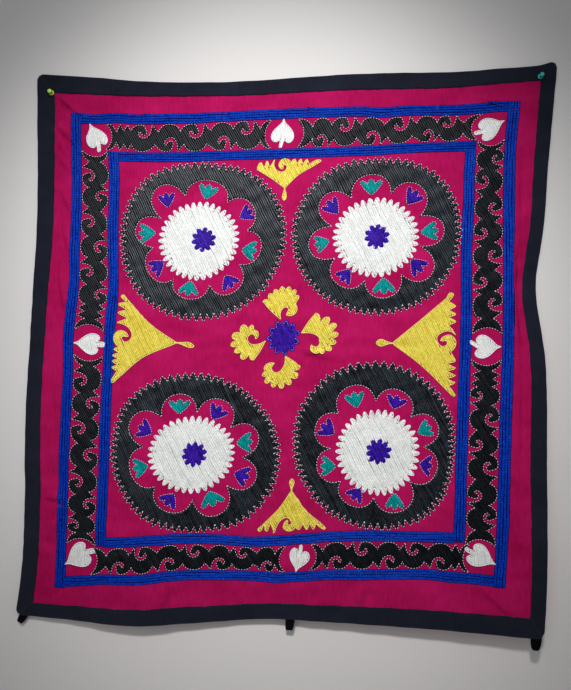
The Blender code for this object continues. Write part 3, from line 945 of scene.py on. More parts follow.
@dataclass
class BlueBands:
    """Two squares of blue chain stitch, each of four rows."""

    cloth: HungCloth
    rows: int = 4
    # Mostly rounded output of a scratch script that turned picture places, read by eye, into cloth places.
    outer: dict = field(default_factory=lambda: {
        Side.TOP: BandSide(Side.TOP,
                           (72, 120, 165, 206, 267, 333, 385, 437, 502, 561, 602, 669, 710, 779, 881, 982),
                           (88, 87, 80, 79.5, 76, 74.5, 72.5, 71.5, 73, 75, 76, 77, 80.5, 77, 77.5,
                               78), 20.5),
        Side.RIGHT: BandSide(Side.RIGHT,
                             (68, 125, 165, 232, 312, 391, 444, 496, 571, 656, 756, 856, 938, 1020),
                             (971, 971, 972, 974, 976, 978, 978, 977, 975, 971, 969, 966, 963, 959), 23),
        Side.BOTTOM: BandSide(Side.BOTTOM,
                              (74, 137, 177, 257, 300, 358, 422, 487, 526, 564, 634, 697, 759, 821, 869,
                                  923, 968),
                              (1037, 1028, 1021.5, 1016.5, 1012, 1012, 1015.5, 1021.5, 1026, 1023, 1015,
                                  1012,
                               1007.5, 1004, 1006, 1007, 1010), 20.5),
        Side.LEFT: BandSide(Side.LEFT,
                            (77, 169, 246, 300, 352, 404, 430, 457, 483, 509, 551, 584, 636, 688, 740,
                                827, 878,
                             930, 998, 1047),
                            (82, 83, 84, 83.5, 83.5, 86, 86.5, 85.5, 83.5, 82, 81.5, 84, 85.5, 85, 84.5,
                                82, 81,
                             80.5, 82, 84), 21)})
    # Mostly rounded output of a scratch script that turned picture places, read by eye, into cloth places.
    inner: dict = field(default_factory=lambda: {
        Side.TOP: BandSide(Side.TOP, (150, 200, 256, 336, 415, 519, 605, 683, 760, 811, 880, 902),
                           (160, 157.5, 155.5, 154, 153, 156, 158, 157.5, 154.5, 151.5, 152, 152), 19.5),
        Side.RIGHT: BandSide(Side.RIGHT,
            (142, 200, 254, 307, 361, 415, 468, 522, 554, 623, 691, 759, 826, 894, 938),
                             (892.5, 893, 894, 893, 892.5, 893, 893.5, 892, 891.5, 888, 886.5, 885, 883,
                                 881.5,
                              880), 22),
        Side.BOTTOM: BandSide(Side.BOTTOM,
            (153, 179, 224, 279, 330, 407, 469, 528, 566, 617, 693, 780, 872, 891),
                              (948, 947, 942, 938, 937, 941.5, 950, 950, 946.5, 940, 934, 932, 929,
                                  929), 20.5),
        Side.LEFT: BandSide(Side.LEFT,
            (150, 202, 241, 307, 372, 424, 450, 489, 529, 561, 612, 664, 733, 802, 853,
                                        905, 956),
                            (161, 164, 163, 163, 167, 170.5, 170.5, 168.5, 167.5, 168.5, 168.5, 168,
                                168.5, 167.5,
                             165, 163.5, 165), 21.5)})

    def square(self, bands: dict, name: str, seed: int, finish: bpy.types.Material) -> bpy.types.Object:
        """Stitch one square of four bands, the upright ones run through at the left."""
        work = Stitchwork(self.cloth, seed=seed)
        for side, band in bands.items():
            level = side in (Side.TOP, Side.BOTTOM)
            before, after = (Side.LEFT, Side.RIGHT) if level else (Side.TOP, Side.BOTTOM)
            start, end = band.places[0], band.places[-1]
            if level:
                start = bands[before].line(band.distances[0]) + bands[before].width / 2 - 1.0
                if name != "blue_inner_band" or side is not Side.TOP:
                    end = bands[after].line(band.distances[-1]) - bands[after].width / 2 + 1.0
            elif name == "blue_inner_band" and side is Side.RIGHT:
                start = bands[before].line(end) + bands[before].width / 2 - 1.0
            where = np.linspace(start, end, 140)
            middle = band.line(where)
            for row in range(self.rows):
                offset = band.width * ((row + 0.5) / self.rows - 0.5)
                wave = 0.35 * np.sin(where / 31.0 + row * 1.7)
                line = middle + offset + wave
                path = np.column_stack((where, line)) if level else np.column_stack((line, where))
                # A low underlay ridge at tone 0 under each row: it keeps the ground from showing, and its
                # darkest blue is painted shade in the grooves between the chain strands.
                work.ridges(path[None], band.width / self.rows * 0.64, 0.55, 0.4, 0.0)
                work.chain_row(path, half=band.width / self.rows / 2)
        return work.build(name, finish)

    def make(self, finish: bpy.types.Material) -> list:
        """Stitch both squares."""
        return [self.square(self.outer, "blue_outer_band", 31, finish),
                self.square(self.inner, "blue_inner_band", 32, finish)]


@dataclass(frozen=True)
class ScrollRun:
    """One run of the scroll border, all places being flat millimetres along its side.

    The circles are the roundels that it forks round, the notches its narrow necks beside
    them, and teeth fill the stretch before or after its curls.
    """

    side: Side
    start_circle: float
    start_notch: float
    teeth: int
    teeth_end: float
    curls: tuple
    first: Edge
    end_notch: float
    end_circle: float
    end_reach: float = 0.0


@dataclass
class ScrollBorder:
    """The black scroll between the two blue bands, with its white running stitches."""

    cloth: HungCloth
    bands: BlueBands
    nominal_half: float = 29.5
    lobe_top: float = 27.8
    circle_radius: float = 37.0
    neck: float = 10.0
    # Mostly rounded output of a scratch script that turned picture places, read by eye, into cloth places.
    runs: tuple = (
        ScrollRun(Side.TOP, 158, 167, 2, 198, (224, 280, 331, 390, 436), Edge.OUTER, 464, 474),
        ScrollRun(Side.TOP, 553, 571, 0, 571, (590, 638, 693, 748, 806, 843), Edge.INNER, 874, 890, 8),
        ScrollRun(Side.RIGHT, 155, 162, 0, 162, (182, 225, 280, 329, 374, 427, 469), Edge.OUTER, 498, 516),
        ScrollRun(Side.RIGHT, 591, 601, 2, 633, (651, 697, 748, 791, 847, 888), Edge.INNER, 912, 930),
        ScrollRun(Side.BOTTOM, -888, -881, 1, -866, (-842, -790, -744, -690, -640), Edge.OUTER, -614, -602),
        ScrollRun(Side.BOTTOM, -528, -519, 0, -519, (-504, -451, -407, -354, -304, -249, -204), Edge.OUTER,
                  -177, -159),
        ScrollRun(Side.LEFT, -943, -932, 0, -932, (-916, -872, -828, -772, -719, -666, -621), Edge.OUTER,
                  -592, -582),
        ScrollRun(Side.LEFT, -507, -496, 2, -466, (-445, -398, -348, -297, -243, -203), Edge.INNER, -174,
            -164))
    curl_inner: tuple = ((-190, -160, -120, -90, -60, -30, 0, 37, 80),
        (4.3, 4.2, 4.6, 6.4, 8.8, 9.9, 9.2, 8.8, 13.2))
    curl_outer: tuple = ((-188, -160, -125, -95, -65, -43, -22, 0, 20, 34),
                         (5.4, 8.8, 11.8, 14.4, 17.0, 18.2, 18.6, 19.4, 21.6, 24.4))
    bulb: tuple = (-3.4, 14.0)

    def channel(self, side: Side, along: np.ndarray, aside: np.ndarray) -> np.ndarray:
        """Flat places of points given along the run, clockwise, and aside, outwards."""
        where = np.abs(along)
        outer, inner = self.bands.outer[side], self.bands.inner[side]
        sign = 1.0 if side in (Side.TOP, Side.LEFT) else -1.0
        near = outer.line(where) + sign * outer.width / 2
        far = inner.line(where) - sign * inner.width / 2
        middle, half = (near + far) / 2, np.abs(far - near) / 2
        distance = middle - sign * aside * half / self.nominal_half
        if side in (Side.TOP, Side.BOTTOM):
            return np.column_stack((where, distance))
        return np.column_stack((distance, where))

    def curl(self, run_from: float, run_to: float, centre: float) -> list:
        """Outline of one curl, seen with its side up, as places along and aside.

        Args:
            run_from: Place of the notch before the curl.
            run_to: Place of the notch after it.
            centre: Place of the curl.

        Returns:
            Arrays of points between its corners.
        """
        size = min(max((run_to - run_from) / 58.0, 0.70), 1.06)
        before = min((centre - run_from) / (27.0 * size), 1.0)
        ahead = min((run_to - centre) / (31.0 * size), 1.0)
        bulb = np.array((centre + self.bulb[0] * size, self.bulb[1]))

        def arc(turns: np.ndarray, table: tuple) -> np.ndarray:
            """Points round the bulb at turns in degrees."""
            radius = smooth_through(*table, turns) * size
            along = bulb[0] + np.cos(np.radians(turns)) * radius
            squeezed = np.where(along > centre, centre + (along - centre) * ahead, along)
            return np.column_stack((squeezed,
                bulb[1] + np.sin(np.radians(turns)) * radius * (27.8 - bulb[1]) / 13.8))

        inner = arc(np.arange(80, -191, -15), self.curl_inner)
        outer = arc(np.arange(-188, 35, 14), self.curl_outer)
        inner[:, 1] += np.clip(self.lobe_top - 0.7 - inner[0, 1], -9, 9) * np.linspace(1, 0,
            len(inner)) ** 3
        outer[:, 1] += (self.lobe_top - 0.2 - outer[-1, 1]) * np.linspace(0, 1, len(outer)) ** 2
        lobe = [(run_from, 14.5), (centre - 24.0 * size * before, 21.0), (centre - 17.5 * size * before,
            25.8),
                (centre - 9.0 * size, self.lobe_top), inner[0]]
        after = [outer[-1], (centre + 20.5 * size * ahead, 24.5), (centre + 25.0 * size * ahead, 17.6),
            (run_to, 14.0)]
        return [curve_through(lobe), inner, outer, curve_through(after)]

    def lobe(self, run_from: float, run_to: float) -> list:
        """Outline of the round lobe opposite a curl."""
        share = np.linspace(0.0, 1.0, 16)
        rise = (1 - np.abs(2 * share - 1) ** 2.2) ** 0.66
        foot = 12.0
        return [np.column_stack((run_from + (run_to - run_from) * share**1.08,
            foot + (self.lobe_top - foot) * rise))]

    def edge_line(self, run: ScrollRun, edge: Edge) -> np.ndarray:
        """One edge of a run, from its start notch to its end notch, with its side up."""
        pieces = []
        if run.teeth:
            width = (run.teeth_end - run.start_notch) / run.teeth
            for k in range(run.teeth):
                start = run.start_notch + k * width
                pieces.append(np.array([(start, 13.0 if k else self.neck), (start + 0.36 * width, 22.5),
                                        (start + 0.5 * width, 27.0), (start + 0.66 * width, 22.0)]))
        start = run.teeth_end
        for k, centre in enumerate(run.curls):
            own = (k % 2 == 0) == (edge is run.first)
            if k + 1 < len(run.curls):
                end = centre + (run.curls[k + 1] - centre) * (0.55 if own else 0.41)
            else:
                end = run.end_notch
            pieces += self.curl(start, end, centre) if own else self.lobe(start, end)
            start = end
        line = np.vstack(pieces)
        line[-1, 1] = self.neck
        if not run.teeth:
            line[0, 1] = self.neck
        line[:, 1] *= edge.value
        return line

    def fork(self, notch: float, circle: float, reach: float = 0.0) -> np.ndarray:
        """The crescent end of a run round a roundel, from the outer notch to the inner notch."""
        toward = 1.0 if circle > notch else -1.0
        middle = circle + toward * self.circle_radius
        opening = math.asin(27.4 / self.circle_radius)
        turns = np.linspace(opening, -opening, 15)
        arc = np.column_stack((middle - toward * self.circle_radius * np.cos(turns),
                               self.circle_radius * np.sin(turns)))
        arc[:, 0] += toward * reach * np.clip((arc[:, 1] - 8.0) / 19.4, 0, 1) ** 2
        horns = []
        for tip in (arc[0], arc[-1]):
            step = tip[0] - notch
            horns.append(curve_through([(notch, self.neck), (notch + step * 0.12, 16.5),
                (notch + step * 0.34, 22.6),
                                        (notch + step * 0.64, 26.4), (notch + step * 0.92, 28.0)]))
        return np.vstack((horns[0], arc, (horns[1] * (1, -1))[::-1]))

    def outline(self, run: ScrollRun) -> np.ndarray:
        """The closed flat outline of a run."""
        outer = self.edge_line(run, Edge.OUTER)
        inner = self.edge_line(run, Edge.INNER)
        end = self.fork(run.end_notch, run.end_circle, run.end_reach)
        start = self.fork(run.start_notch, run.start_circle)
        loop = np.vstack((outer, end[1:-1], inner[::-1], start[::-1][1:-1]))
        return self.channel(run.side, loop[:, 0], loop[:, 1])

    def make(self, black: bpy.types.Material, white: bpy.types.Material) -> list:
        """Stitch the black fill with its cord, and the white running stitches."""
        pieces = []
        stitches = Stitchwork(self.cloth, seed=41)
        for name, first in (("upper", 0), ("lower", 4)):
            fill = Stitchwork(self.cloth, seed=42 + first)
            for run in self.runs[first:first + 4]:
                loop = self.outline(run)
                fill.laid_fill([loop], turn=58.0, pitch=4.0, grain=7.0, rise=1.4, contrast=0.16)
                fill.cord(loop, True, half=0.9, rise=0.9)
                stitches.running_stitch(loop, True, pitch=5.6, dash=3.4, half=0.9, rise=1.1, base=1.1)
            pieces.append(fill.build("scroll_black_" + name, black))
        pieces.append(stitches.build("scroll_white_stitches", white))
        return pieces


@dataclass(frozen=True)
class Leaf:
    """A white leaf, in flat millimetres.

    It has its tip, the end of its stem, its half width as a share of its length, the turn
    of its thread, how far its stem leans off its axis, and the stem's half width as a share.
    """

    tip: tuple
    stem: tuple
    half: float
    thread_turn: float
    lean: float = 0.0
    stem_half: float = 0.06


@dataclass
class LeafRoundels:
    """The eight white leaves in the bare rounds of the border."""

    cloth: HungCloth
    # Mostly rounded output of a scratch script that turned picture places, read by eye, into cloth places.
    leaves: tuple = (
        Leaf((112, 98), (132, 153), 0.37, 100, 6.5), Leaf((511, 84), (506, 143), 0.39, 80, 3.5, 0.05),
        Leaf((954, 106), (897, 128), 0.37, 60, 5.0), Leaf((961, 554), (901, 544), 0.38, 75, 10.0),
        Leaf((951, 976), (892, 949), 0.34, 80, 1.0, 0.05), Leaf((563, 1013), (571, 958), 0.36, 85, -1.0,
            0.05),
        Leaf((91, 999), (151, 965), 0.36, 80, 6.0, 0.07), Leaf((93, 547), (158, 546), 0.33, 75, 0.0, 0.075))
    right_half: tuple = (
        (0.0, 0.0), (0.07, 0.06), (0.15, 0.17), (0.25, 0.44), (0.37, 0.74), (0.50, 0.95),
        (0.60, 1.0), (0.70, 0.94),
        (0.77, 0.78), (0.80, 0.58), (0.78, 0.40), (0.71, 0.19))
    left_half: tuple = (
        (0.0, 0.0), (0.07, 0.06), (0.15, 0.17), (0.25, 0.42), (0.37, 0.70), (0.50, 0.90),
        (0.62, 0.97), (0.73, 0.92),
        (0.82, 0.76), (0.85, 0.56), (0.82, 0.39), (0.73, 0.19))

    def outline(self, leaf: Leaf) -> np.ndarray:
        """The closed flat outline of a leaf."""
        tip, stem = np.array(leaf.tip, float), np.array(leaf.stem, float)
        size = np.linalg.norm(stem - tip)
        lean = leaf.lean / size
        axis = (stem - tip) / size
        side = np.array((-axis[1], axis[0]))
        axis = (axis - side * lean) / math.hypot(1, lean)
        side = np.array((-axis[1], axis[0]))
        stem_end = np.array([(0.85, leaf.stem_half), (0.97, leaf.stem_half), (1.0,
            leaf.stem_half * 0.7)]) * size
        halves = []
        for table in (self.right_half, self.left_half):
            points = np.array(table) * (size, size * leaf.half)
            halves.append(np.vstack((curve_through(points, step=2.0), stem_end)))
        loop = np.vstack((halves[0], (halves[1] * (1, -1))[::-1][:-1]))
        follows = np.clip((loop[:, 0] / size - 0.72) / 0.28, 0, 1)
        loop[:, 1] += leaf.lean * follows * (np.abs(loop[:, 1]) < size * 0.1)
        return tip + loop[:, :1] * axis + loop[:, 1:] * side

    def make(self, white: bpy.types.Material) -> bpy.types.Object:
        """Stitch the eight leaves."""
        work = Stitchwork(self.cloth, seed=51)
        for leaf in self.leaves:
            loop = self.outline(leaf)
            work.laid_fill([loop], turn=leaf.thread_turn, pitch=3.4, grain=7.0, rise=0.8, base=0.7)
            work.cord(loop, True, half=1.4, rise=2.0, base=0.7)
        return work.build("white_leaves", white)


@dataclass(frozen=True)
class Rosette:
    """One rosette, in flat millimetres and turns in degrees clockwise from the top.

    The ring has eight outer radii from the top on. The disc has its shift and its two radii.
    Each petal has the turn and radius of the cusp before it, and its height. Each tulip has
    the turn and radius of its foot, the turn of its axis, its length and its width.
    """

    across: float
    down: float
    ring: tuple
    disc: tuple
    petals: tuple
    tulips: tuple


@dataclass
class Rosettes:
    """Four black rosettes with white middles and eight petals."""

    cloth: HungCloth
    teeth: int = 74
    tooth_depth: float = 14.5
    tooth_crowding: float = 0.06
    white_teeth: int = 36
    white_tooth_depth: float = 15.5
    flower_radius: float = 25.0
    flower_depth: float = 9.5
    flower_lobes: int = 10
    thread_turn: float = 62.0
    # Mostly rounded output of a scratch script that turned picture places, read by eye, into cloth places.
    rosettes: tuple = (
        Rosette(354, 326, (161, 170, 173, 171, 167, 173, 177, 178), (-10, 2, 84, 81),
                ((336, 99, 40), (32, 89, 38), (80, 90, 38), (125, 92, 43), (170, 95, 35), (216, 99, 36),
                 (261, 105, 47), (296, 100, 53)),
                ((1, 85, 16, 29, 39), (60, 86, 60, 28, 33), (106, 84, 99, 29, 38), (147, 90, 148, 28, 36),
                 (195, 88, 189, 28, 40), (241, 93, 232, 30, 35), (278, 103, 267, 33, 37),
                 (312, 102, 348, 28, 33))),
        Rosette(710, 333, (162, 176, 173, 166, 160, 165, 176, 176), (-2, 1, 88, 81),
                ((326, 95, 44), (17, 91, 47), (64, 97, 48), (102, 91, 51), (146, 92, 42), (194, 91, 38),
                 (243, 94, 51), (284, 95, 51)),
                ((351, 87, 358, 30, 43), (42, 90, 37, 32, 37), (84, 90, 83, 34, 35), (123, 85, 135, 32, 38),
                 (169, 86, 177, 30, 44), (218, 85, 219, 27, 34), (266, 98, 254, 29, 33),
                 (301, 95, 320, 33, 35))),
        Rosette(353, 766, (167, 163, 175, 178, 160, 168, 172, 180), (-6, 0, 88, 79),
                ((319, 103, 43), (2, 85, 45), (54, 88, 46), (96, 98, 47), (135, 93, 50), (182, 91, 40),
                 (231, 100, 40), (279, 106, 51)),
                ((339, 91, 0, 27, 42), (26, 80, 34, 29, 39), (77, 88, 89, 30, 38), (117, 92, 111, 30, 39),
                 (158, 83, 163, 30, 47), (207, 90, 219, 26, 38), (257, 96, 258, 30, 37),
                 (297, 99, 296, 29, 38))),
        Rosette(722, 766, (182, 170, 151, 158, 157, 162, 172, 186), (-2, 1, 83, 86),
                ((313, 110, 45), (356, 102, 40), (41, 93, 44), (82, 89, 41), (133, 84, 46), (186, 92, 35),
                 (231, 96, 38), (273, 94, 40)),
                ((333, 99, 347, 30, 37), (18, 92, 17, 25, 39), (63, 87, 61, 28, 33), (105, 85, 98, 22, 39),
                 (159, 88, 179, 30, 34), (206, 83, 215, 26, 35), (250, 91, 271, 28, 38),
                 (291, 96, 306, 30, 38))))
    tulip_half: tuple = (
        (0.0, 0.0), (0.20, 0.24), (0.36, 0.50), (0.47, 0.72), (0.50, 0.85), (0.44, 0.93),
        (0.34, 0.88), (0.24, 0.74),
        (0.16, 0.66), (0.125, 0.80), (0.09, 0.95), (0.0, 1.02))

    @staticmethod
    def polar(middle: tuple, radius: np.ndarray, turns: np.ndarray) -> np.ndarray:
        """Flat places from radii and turns clockwise from north."""
        return np.column_stack((middle[0] + radius * np.sin(turns), middle[1] - radius * np.cos(turns)))

    @staticmethod
    def around(radii: tuple, turns: np.ndarray) -> np.ndarray:
        """Read eight radii smoothly all the way round."""
        places = np.arange(-2, 11) * math.pi / 4
        values = [radii[k % 8] for k in range(-2, 11)]
        return smooth_through(places, values, turns % (2 * math.pi))

    def ring_edge(self, rosette: Rosette) -> np.ndarray:
        """The toothed outer edge of the black ring, its teeth closer together at the sides."""
        draw = np.random.default_rng(int(rosette.across + rosette.down))
        pitch = 2 * math.pi / self.teeth
        starts = np.arange(self.teeth) * pitch + draw.uniform(-0.08, 0.08, self.teeth) * pitch
        rows = np.array([(0.0, 1.0), (0.2, 0.44), (0.38, 0.12), (0.5, 0.0), (0.64, 0.14), (0.82, 0.5)])
        turns = starts[:, None] + rows[:, 0] * pitch
        depth = self.tooth_depth * draw.uniform(0.85, 1.15, (self.teeth, 1)) * rows[:, 1]
        depth += draw.uniform(-1.3, 1.3, (self.teeth, 1)) * (1 - rows[:, 1])
        turns = (turns + self.tooth_crowding * np.sin(2 * turns)).ravel()
        return self.polar((rosette.across, rosette.down), self.around(rosette.ring,
            turns) - depth.ravel(), turns)

    def petal_edge(self, rosette: Rosette) -> np.ndarray:
        """The scalloped inner edge of the black ring."""
        turns = np.radians([row[0] for row in rosette.petals])
        cusps = self.polar((rosette.across, rosette.down), np.array([row[1] for row in rosette.petals]),
            turns)
        sweep = np.linspace(0, math.pi, 20)[:-1]
        line = []
        for start, end, row in zip(cusps, np.roll(cusps, -1, axis=0), rosette.petals):
            chord = end - start
            size = np.linalg.norm(chord)
            along = chord / size
            outward = np.array((along[1], -along[0]))
            swell = 0.3 * max(row[2] / size - 0.35, 0.0)
            reach = -np.cos(sweep) * (1 + swell * np.sin(sweep)) * size / 2
            line.append((start + end) / 2 + reach[:, None] * along
                        + (row[2] * np.sin(sweep) ** 0.85)[:, None] * outward)
        return np.vstack(line)

    def lobed(self, middle: tuple, radii: tuple, depth: float, lobes: int, shift: float = 0.0,
                  round_off: float = 1.05) -> np.ndarray:
        """A round or oval outline of lobes with sharp valleys."""
        turns = np.linspace(0, 2 * math.pi, lobes * 10, endpoint=False)
        uneven = 0.5 * np.sin(turns * 3 + lobes) + 0.5 * np.sin(turns * 7 + shift)
        swell = np.abs(np.cos(turns * lobes / 2)) ** round_off
        inward = depth * (1 - swell) - 0.07 * depth * uneven
        right = middle[0] + (radii[0] - inward) * np.sin(turns + shift)
        below = middle[1] - (radii[1] - inward) * np.cos(turns + shift)
        return np.column_stack((right, below))

    def tulip(self, rosette: Rosette, row: tuple) -> np.ndarray:
        """A three-pronged tulip, its pointed foot towards the middle."""
        foot_turn, foot_radius, axis_turn, long, wide = row
        foot = self.polar((rosette.across, rosette.down), np.array([float(foot_radius)]),
                          np.radians([foot_turn]))[0]
        half = np.array(self.tulip_half)
        shape = np.vstack((half, (half * (-1, 1))[-2:0:-1])) * (wide, long)
        tilt = math.radians(axis_turn)
        right = np.array((math.cos(tilt), math.sin(tilt)))
        outward = np.array((math.sin(tilt), -math.cos(tilt)))
        return foot + shape[:, :1] * right + shape[:, 1:] * outward

    def make(self, black: bpy.types.Material, white: bpy.types.Material, violet: bpy.types.Material,
                 teal: bpy.types.Material) -> list:
        """Stitch the four rosettes."""
        pieces = []
        names = ("top_left", "top_right", "bottom_left", "bottom_right")
        outline = Stitchwork(self.cloth, seed=61)
        flowers = Stitchwork(self.cloth, seed=62)
        teal_tulips = Stitchwork(self.cloth, seed=63)
        middles = Stitchwork(self.cloth, seed=64)
        for name, rosette in zip(names, self.rosettes):
            ring = Stitchwork(self.cloth, seed=65 + len(pieces))
            edge, petals = self.ring_edge(rosette), self.petal_edge(rosette)
            ring.laid_fill([edge, petals], turn=self.thread_turn, pitch=4.2, grain=7.5, rise=1.4,
                contrast=0.16)
            ring.cord(petals, True, half=0.9, rise=0.95)
            ring.cord(edge, True, half=0.8, rise=0.9)
            outline.running_stitch(edge, True, pitch=6.2, dash=3.9, half=0.95, rise=1.1, base=1.1)
            outline.running_stitch(petals, True, pitch=5.8, dash=3.6, half=0.95, rise=1.1, base=1.1)
            pieces.append(ring.build("ring_" + name, black))
            middle = (rosette.across, rosette.down)
            shift_right, shift_down, wide, high = rosette.disc
            disc = self.lobed((middle[0] + shift_right, middle[1] + shift_down), (wide, high),
                              self.white_tooth_depth, self.white_teeth)
            flower = self.lobed(middle, (self.flower_radius,) * 2, self.flower_depth, self.flower_lobes,
                0.1)
            middles.laid_fill([disc, flower], turn=self.thread_turn, pitch=4.2, grain=6.5, rise=1.1,
                contrast=0.11)
            middles.cord(disc, True, half=1.1, rise=1.1, stitch=2.4)
            flowers.laid_fill([flower], turn=self.thread_turn, pitch=3.0, grain=7.0, base=0.6)
            flowers.cord(flower, True, half=1.0, rise=1.2, base=0.6, stitch=2.4)
            for k, row in enumerate(rosette.tulips):
                shape = self.tulip(rosette, row)
                work = teal_tulips if k % 2 == 0 else flowers
                work.laid_fill([shape], turn=self.thread_turn, pitch=2.6, grain=6.0, base=0.6)
                work.cord(shape, True, half=0.8, rise=1.1, base=0.6, stitch=2.2)
                outline.running_stitch(shape, True, pitch=4.6, dash=3.0, half=0.75, rise=0.9, base=0.8,
                    aside=1.5)
        pieces.append(middles.build("rosette_white_middles", white))
        pieces.append(flowers.build("violet_flowers", violet))
        pieces.append(teal_tulips.build("teal_tulips", teal))
        pieces.append(outline.build("rosette_white_stitches", white))
        return pieces


@dataclass(frozen=True)
class Fan:
    """A fan that curls round an eye: its tips are turns from the top and radii from the eye."""

    stem: tuple
    eye: tuple
    tips: tuple
    valley_share: float
    hook_size: float
    eye_radius: float
    hook_reach: float


@dataclass(frozen=True)
class LobedTriangle:
    """A yellow triangle in its own places: s along its base and depth towards its apex."""

    name: str
    origin: tuple
    along: tuple
    toward: tuple
    scale: float
    spike: tuple
    ends_before: tuple
    before: tuple
    after: tuple
    ends_after: tuple
    apex: tuple
    bud: tuple
    sags: tuple
    gap_start: tuple


@dataclass
class YellowWork:
    """The four yellow triangles and the four fans round the middle flower."""

    cloth: HungCloth
    hook: tuple = (
        (-9.9, 37.0), (0.5, 38.6), (9.4, 33.0), (12.2, 24.8), (8.0, 18.8), (2.0, 17.6))
    hook_inner: tuple = ((2.0, 17.6), (0.4, 22.0), (1.4, 27.0), (0.7, 32.0))
    hook_outer: tuple = (
        (0.7, 32.0), (-5.6, 28.2), (-10.2, 19.7), (-10.2, 11.3), (-4.2, 3.6), (5.6, 0.8),
        (15.5, 4.4), (23.3, 12.0))
    triangles: tuple = (
        LobedTriangle("left", (176, 525), (0, 1), (1, 0), 1.0, (-26, 5.6), ((-74, 27), (-84, 17),
            (-80, 12)),
                      ((-69.8, 25.3), (-64, 7.0), (-53.6, 27), (-47, 7.0), (-36.7, 28.4)),
                      ((28.2, 2), (34.5, 15), (41, 0), (47, 14), (52.5, 0), (60, 13), (65.6, 0), (72, 12)),
                      ((92, 1.0), (97, 4.5), (88, 13.4)), (12, 131), (38, 8, 9), (11.0, 6.0),
                      ((-24.7, 15.5), (-19.7, 28.2))),
        LobedTriangle("right", (873, 541), (0, 1), (-1, 0), 1.0, (-10, 0.7), ((-84, 20), (-95, 13),
            (-92, 5)),
                      ((-77.6, 14.7), (-68.4, 0.7), (-60.6, 16), (-52, 0.7), (-46.5, 15.4), (-37.4, 0.7),
                       (-31.0, 15.5)),
                      ((40.9, 2.1), (45.8, 19.6), (55.7, 2.5), (61, 19.6), (70.5, 3.1), (76, 19.6),
                      (84.6, 3.5),
                       (90, 16)),
                      ((109, 2.0), (111, 6.0), (104, 14)), (7, 127), (34, -1, 12.5), (4.5, 0.0),
                      ((-17.0, 9.0), (-18.6, 21.0))),
        LobedTriangle("top", (513, 166), (1, 0), (0, 1), 0.72, (-17, 0.5), ((-51, 20), (-52, 15), (-46, 5)),
                      ((-38, 17.5), (-32.5, 2.5), (-26.8, 17.5)),
                      ((23.8, 2), (29, 13.3), (36.3, 2.5), (41, 14.8), (48.7, 4), (53.9, 15.0)),
                      ((69, 7.5), (78.5, 9.0), (66.0, 17.5)), (5.5, 61), (27, 0, 7), (4.5, 1.0),
                      ((-18.5, 11.2), (-14.8, 21.2))),
        LobedTriangle("bottom", (542, 931), (1, 0), (0, -1), 0.72, (-26, -3.5), ((-52, 12), (-60, 5),
            (-54, 1)),
                      ((-47, 15.7), (-41, 0.0), (-34.0, 17.9)),
                      ((23.9, 4.2), (31.9, 17.9), (38.8, 4.2), (45, 18.5), (52, 5.3), (57.3, 17.4)),
                      ((71, 7.0), (77, 8.5), (70, 16)), (7.5, 82), (26, 1, 8), (5.5, 4.0),
                      ((-21.0, 11.0), (-15.0, 21.0))))
    # Mostly rounded output of a scratch script that turned picture places, read by eye, into cloth places.
    fans: tuple = (
        Fan((520, 498), (9.0, -17.7), ((295, 52), (316, 50.5), (332, 51), (350, 51), (367, 50), (384, 47),
            (400, 40)),
            0.80, 24.0, 7.5, 130),
        Fan((562, 527), (27.8, 19.1), ((1, 59.5), (28, 57.5), (48, 56), (70, 50), (90, 43), (113, 37.5),
            (142, 29)),
            0.67, 23.0, 10.3, 95),
        Fan((531, 573), (-17.1, 22.7), ((90, 48), (116, 48), (140, 46.5), (163, 45.5), (187, 41),
            (213, 37.5),
                                        (242, 32)), 0.65, 25.0, 10.8, 92),
        Fan((490, 540), (-27.8, -6.3), ((174, 45), (205, 45.5), (232, 43), (255, 44.5), (280, 42),
            (322, 35.5),
                                        (359, 28)), 0.68, 18.0, 9.5, 110))
    hook_form: tuple = ((0.16, 0.98), (0.34, 1.0), (0.55, 0.84), (0.78, 0.58), (1.0, 0.36))
    inner_form: tuple = ((100, 0.38), (60, 0.46), (28, 0.64), (10, 0.82), (0, 1.0))

    @staticmethod
    def finger(valley, tip, following) -> np.ndarray:
        """A rounded finger from one valley over its tip to the next valley."""
        valley, tip, following = (np.array(place, float) for place in (valley, tip, following))
        left = valley + (tip - valley) * 0.66 + (valley - following) * 0.05
        right = following + (tip - following) * 0.66 + (following - valley) * 0.05
        return curve_through([valley, left, tip, right, following], step=2.0)[:-1]

    def triangle_outline(self, one: LobedTriangle) -> np.ndarray:
        """The closed flat outline of a triangle without its bud."""
        size = one.scale
        outer, inner, back = (np.array(part) * size for part in (self.hook, self.hook_inner,
            self.hook_outer))
        parts = [curve_through([*one.ends_before, one.before[0]], step=2.0)[:-1]]
        for k in range(0, len(one.before) - 2, 2):
            parts.append(self.finger(*one.before[k:k + 3]))
        parts.append(curve_through([one.before[-1], one.spike], step=2.5)[:-1])
        parts.append(curve_through([one.spike, *one.gap_start, *outer], step=2.0))
        parts.append(curve_through(inner, step=2.0)[1:])
        parts.append(curve_through(back, step=2.0)[1:])
        valleys = [tuple(back[-1]), *one.after]
        for k in range(0, len(valleys) - 2, 2):
            parts.append(self.finger(*valleys[k:k + 3]))
        parts.append(curve_through([valleys[-1], *one.ends_after], step=2.0))
        apex = np.array(one.apex, float)
        for hand, end, sag in ((1, one.ends_after[-1], one.sags[0]), (-1, one.ends_before[0], one.sags[1])):
            middle = (apex + end) / 2 - sag * np.array((hand, 1.0)) / math.sqrt(2)
            side = curve_through([end, middle, apex + (1.5 * hand, -1.0)])[1:]
            parts.append(side if hand > 0 else side[::-1])
        return self.placed(one, np.vstack(parts))

    @staticmethod
    def placed(one: LobedTriangle, local: np.ndarray) -> np.ndarray:
        """Flat places of a triangle's own places."""
        return np.array(one.origin, float) + local[:, :1] * np.array(one.along) + local[:,
            1:] * np.array(one.toward)

